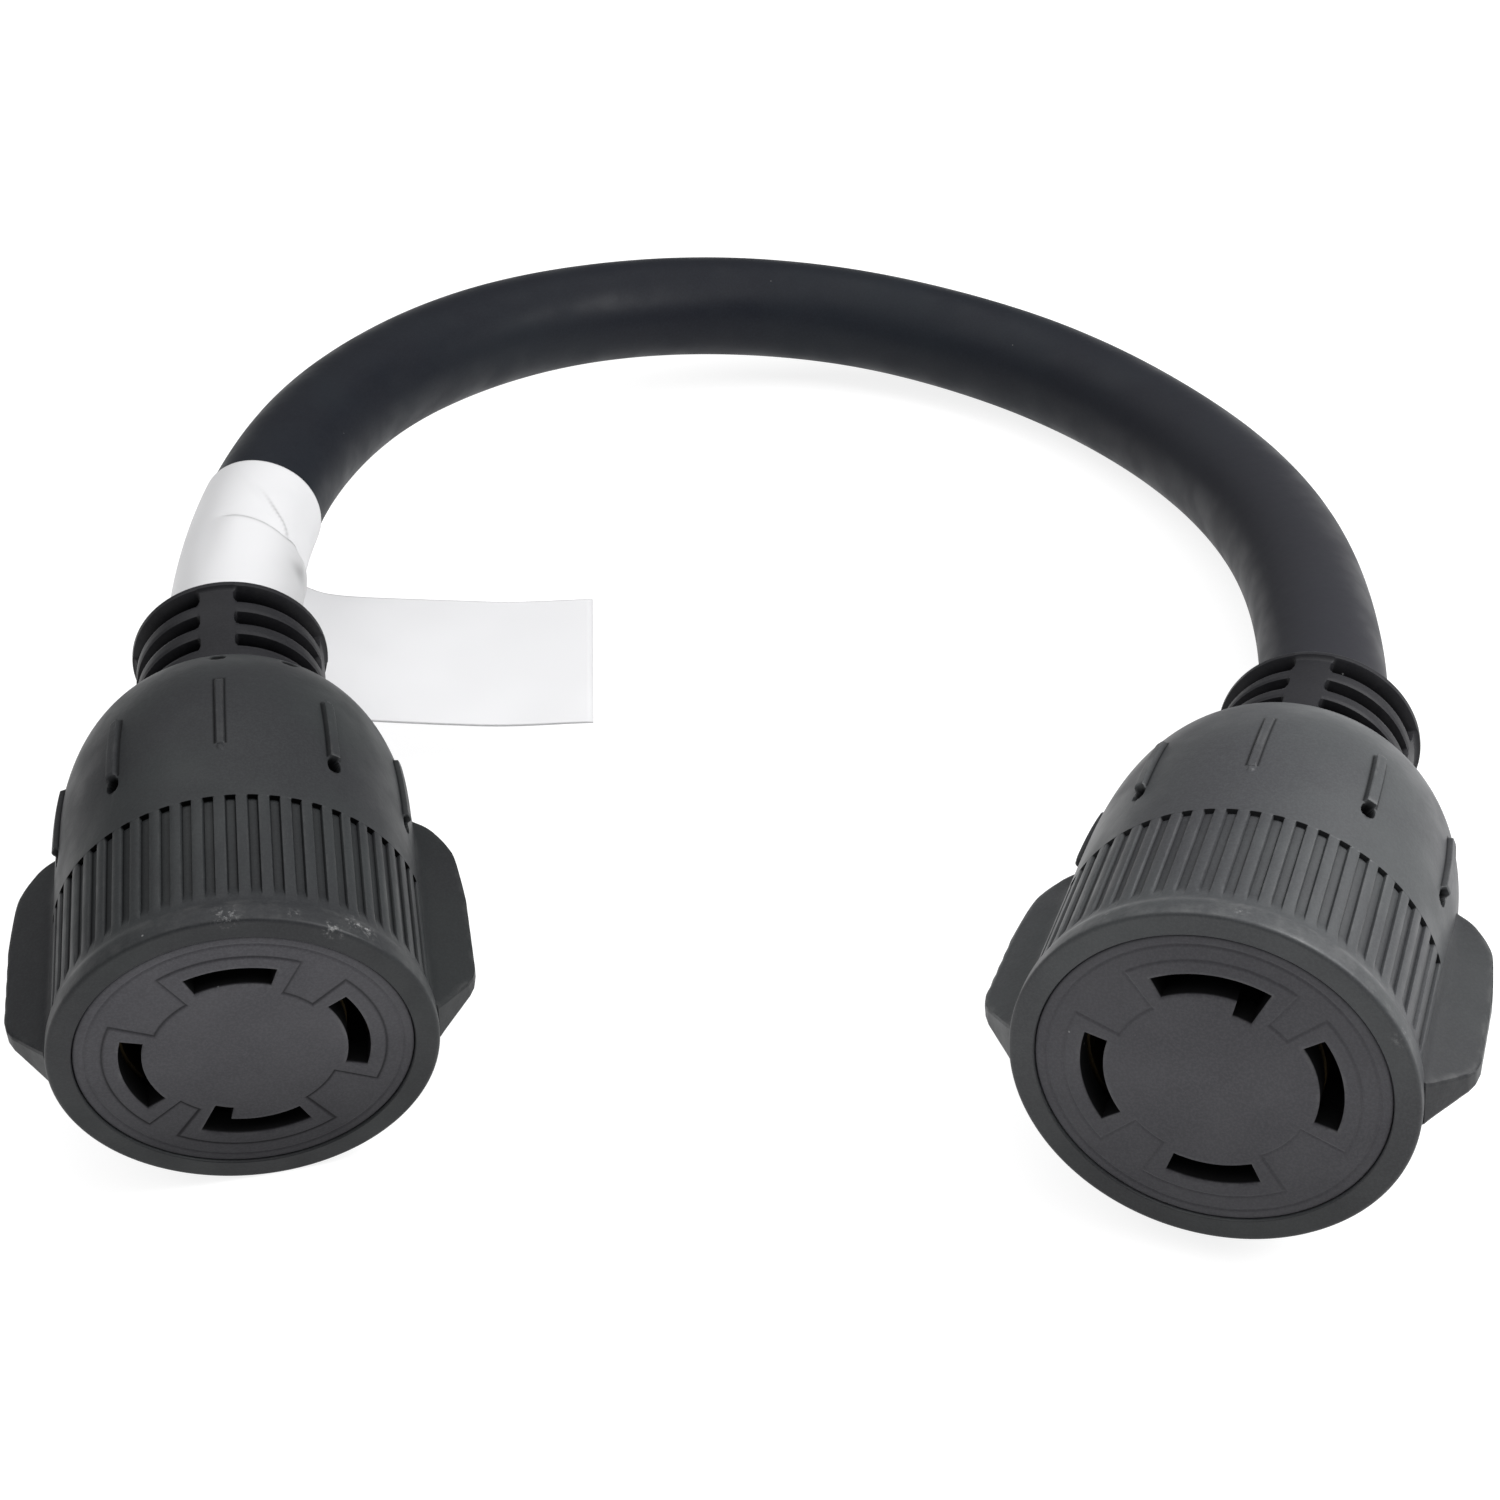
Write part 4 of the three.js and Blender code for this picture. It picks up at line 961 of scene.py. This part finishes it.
def make_insert(tag):
    """The disc with its open slots, its back and its skirt, which closes behind it."""
    radii, angles = insert_axes()
    radii = np.concatenate([radii, [23.4, 23.66, INSERT_RADIUS]])
    rows, columns = len(radii), len(angles)
    r, a = radii[:, None], angles[None, :]
    front = insert_front(r, a)
    front[-2] += 0.04
    front[-1] += 0.2
    turn = np.radians(a)
    across, high = r * np.cos(turn), r * np.sin(turn)
    lifted = np.stack([across, front, high], -1).reshape(-1, 3)
    behind = np.stack([across, np.full_like(front, INSERT_BACK), high], -1).reshape(-1, 3)
    middle = lifted + np.array([0, 0.35, 0])
    next_a = np.roll(angles, -1)
    next_a[-1] += 360
    holes, _ = inside_slots((radii[:-1] + radii[1:])[:, None] / 2, ((angles + next_a) / 2)[None, :])
    faces, back_faces, walls = [], [], []
    count = rows * columns
    for i in range(rows - 1):
        for j in range(columns):
            if holes[i, j]:
                continue
            j2 = (j + 1) % columns
            quad = [i * columns + j, i * columns + j2, (i + 1) * columns + j2, (i + 1) * columns + j]
            faces.append(quad)
            back_faces.append([q + count for q in quad[::-1]])
            if i and holes[i - 1, j]:
                walls.append((quad[1], quad[0]))
            if i + 1 < rows - 1 and holes[i + 1, j]:
                walls.append((quad[3], quad[2]))
            if holes[i, j - 1]:
                walls.append((quad[0], quad[3]))
            if holes[i, j2]:
                walls.append((quad[2], quad[1]))
    for p, q in walls:
        faces.append([p, p + 2 * count, q + 2 * count, q])
        faces.append([p + 2 * count, p + count, q + count, q + 2 * count])
    faces += back_faces
    centre_front, centre_back = 3 * count, 3 * count + 1
    points = [lifted, behind, middle, np.array([[0, float(front[0].mean()), 0], [0, INSERT_BACK, 0]])]
    skirt = [(INSERT_RADIUS, 10.0), (INSERT_RADIUS, INSERT_SKIRT_END - 0.3),
             (INSERT_RADIUS - 0.3, INSERT_SKIRT_END), (INSERT_SKIRT_BORE, INSERT_SKIRT_END),
             (INSERT_SKIRT_BORE, INSERT_BACK + 0.4)]
    previous = (rows - 1) * columns
    for k, (radius, depth) in enumerate(skirt):
        ring = [radius * np.cos(turn[0]), np.full(columns, depth), radius * np.sin(turn[0])]
        points.append(np.stack(ring, 1))
        start = centre_back + 1 + k * columns
        for j in range(columns):
            j2 = (j + 1) % columns
            faces.append([previous + j, previous + j2, start + j2, start + j])
        previous = start
    points = np.concatenate(points)
    for j in range(columns):
        j2 = (j + 1) % columns
        faces.append([centre_front, j2, j])
        faces.append([centre_back, count + j, count + j2])
    _, gap = inside_slots(r, a)
    edge = np.zeros(len(points))
    edge[:count] = (0.7 * bump(gap - 0.1, 0.25)).ravel()
    # painted shade: darker towards the bottom, a line round the raised part, black on the back and in the
    # slot walls
    up = high * math.cos(math.radians(CONNECTORS[tag]["roll"]))
    shade = np.interp(up, DISC_SHADE_HEIGHTS, DISC_SHADES[tag])
    outline = OUTLINE_SHADES[tag] * bump(insert_plateau(r, a) + 0.05, 0.2)
    painted_shade = np.zeros(len(points))
    painted_shade[:count] = np.clip(shade + outline, 0, 0.8).ravel()
    painted_shade[count:3 * count] = 1.0
    put_piece(f"socket_face_{tag}", in_connector(tag, points), faces, INSERT, [f"face_insert_{tag}"],
              {"edge": edge, "painted_shade": painted_shade}, sharp=50)


for tag in CONNECTORS:
    make_grip(tag)
    make_relief(tag)
    make_insert(tag)

# ---------------------------------------------------------------- stage and light
floor_mesh = bpy.data.meshes.new("floor")
floor_mesh.from_pydata([(-4, -4, 0), (4, -4, 0), (4, 4, 0), (-4, 4, 0)], [], [(0, 1, 2, 3)])
floor = bpy.data.objects.new("floor", floor_mesh)
scene.collection.objects.link(floor)
pale = bpy.data.materials.new("pale_floor")
pale.use_nodes = True
pale_inputs = pale.node_tree.nodes["Principled BSDF"].inputs
pale_inputs["Base Color"].default_value = (0.32, 0.32, 0.32, 1)
pale_inputs["Roughness"].default_value = 0.9
pale_inputs["Specular IOR Level"].default_value = 0.0
pale_inputs["Emission Color"].default_value = (1, 1, 1, 1)
pale_inputs["Emission Strength"].default_value = 0.84
floor_mesh.materials.append(pale)

world = bpy.data.worlds.new("world")
world.use_nodes = True
world_inputs = world.node_tree.nodes["Background"].inputs
world_inputs["Color"].default_value = (1, 1, 1, 1)
world_inputs["Strength"].default_value = 0.23
scene.world = world


def area_light(name, place, target, size, power):
    data = bpy.data.lights.new(name, "AREA")
    data.shape = "RECTANGLE"
    data.size, data.size_y = size
    data.energy = power
    lamp = bpy.data.objects.new(name, data)
    scene.collection.objects.link(lamp)
    lamp.location = place
    lamp.rotation_mode = "QUATERNION"
    lamp.rotation_quaternion = (Vector(place) - Vector(target)).to_track_quat("Z", "Y")


area_light("wide_softbox", (0.0, 0.2, 1.3), (0, 0.05, 0), (2.4, 2.2), 24.7)
area_light("right_softbox", (0.30, 0.0, 0.28), (0.08, -0.01, 0.03), (0.22, 0.22), 1.5)
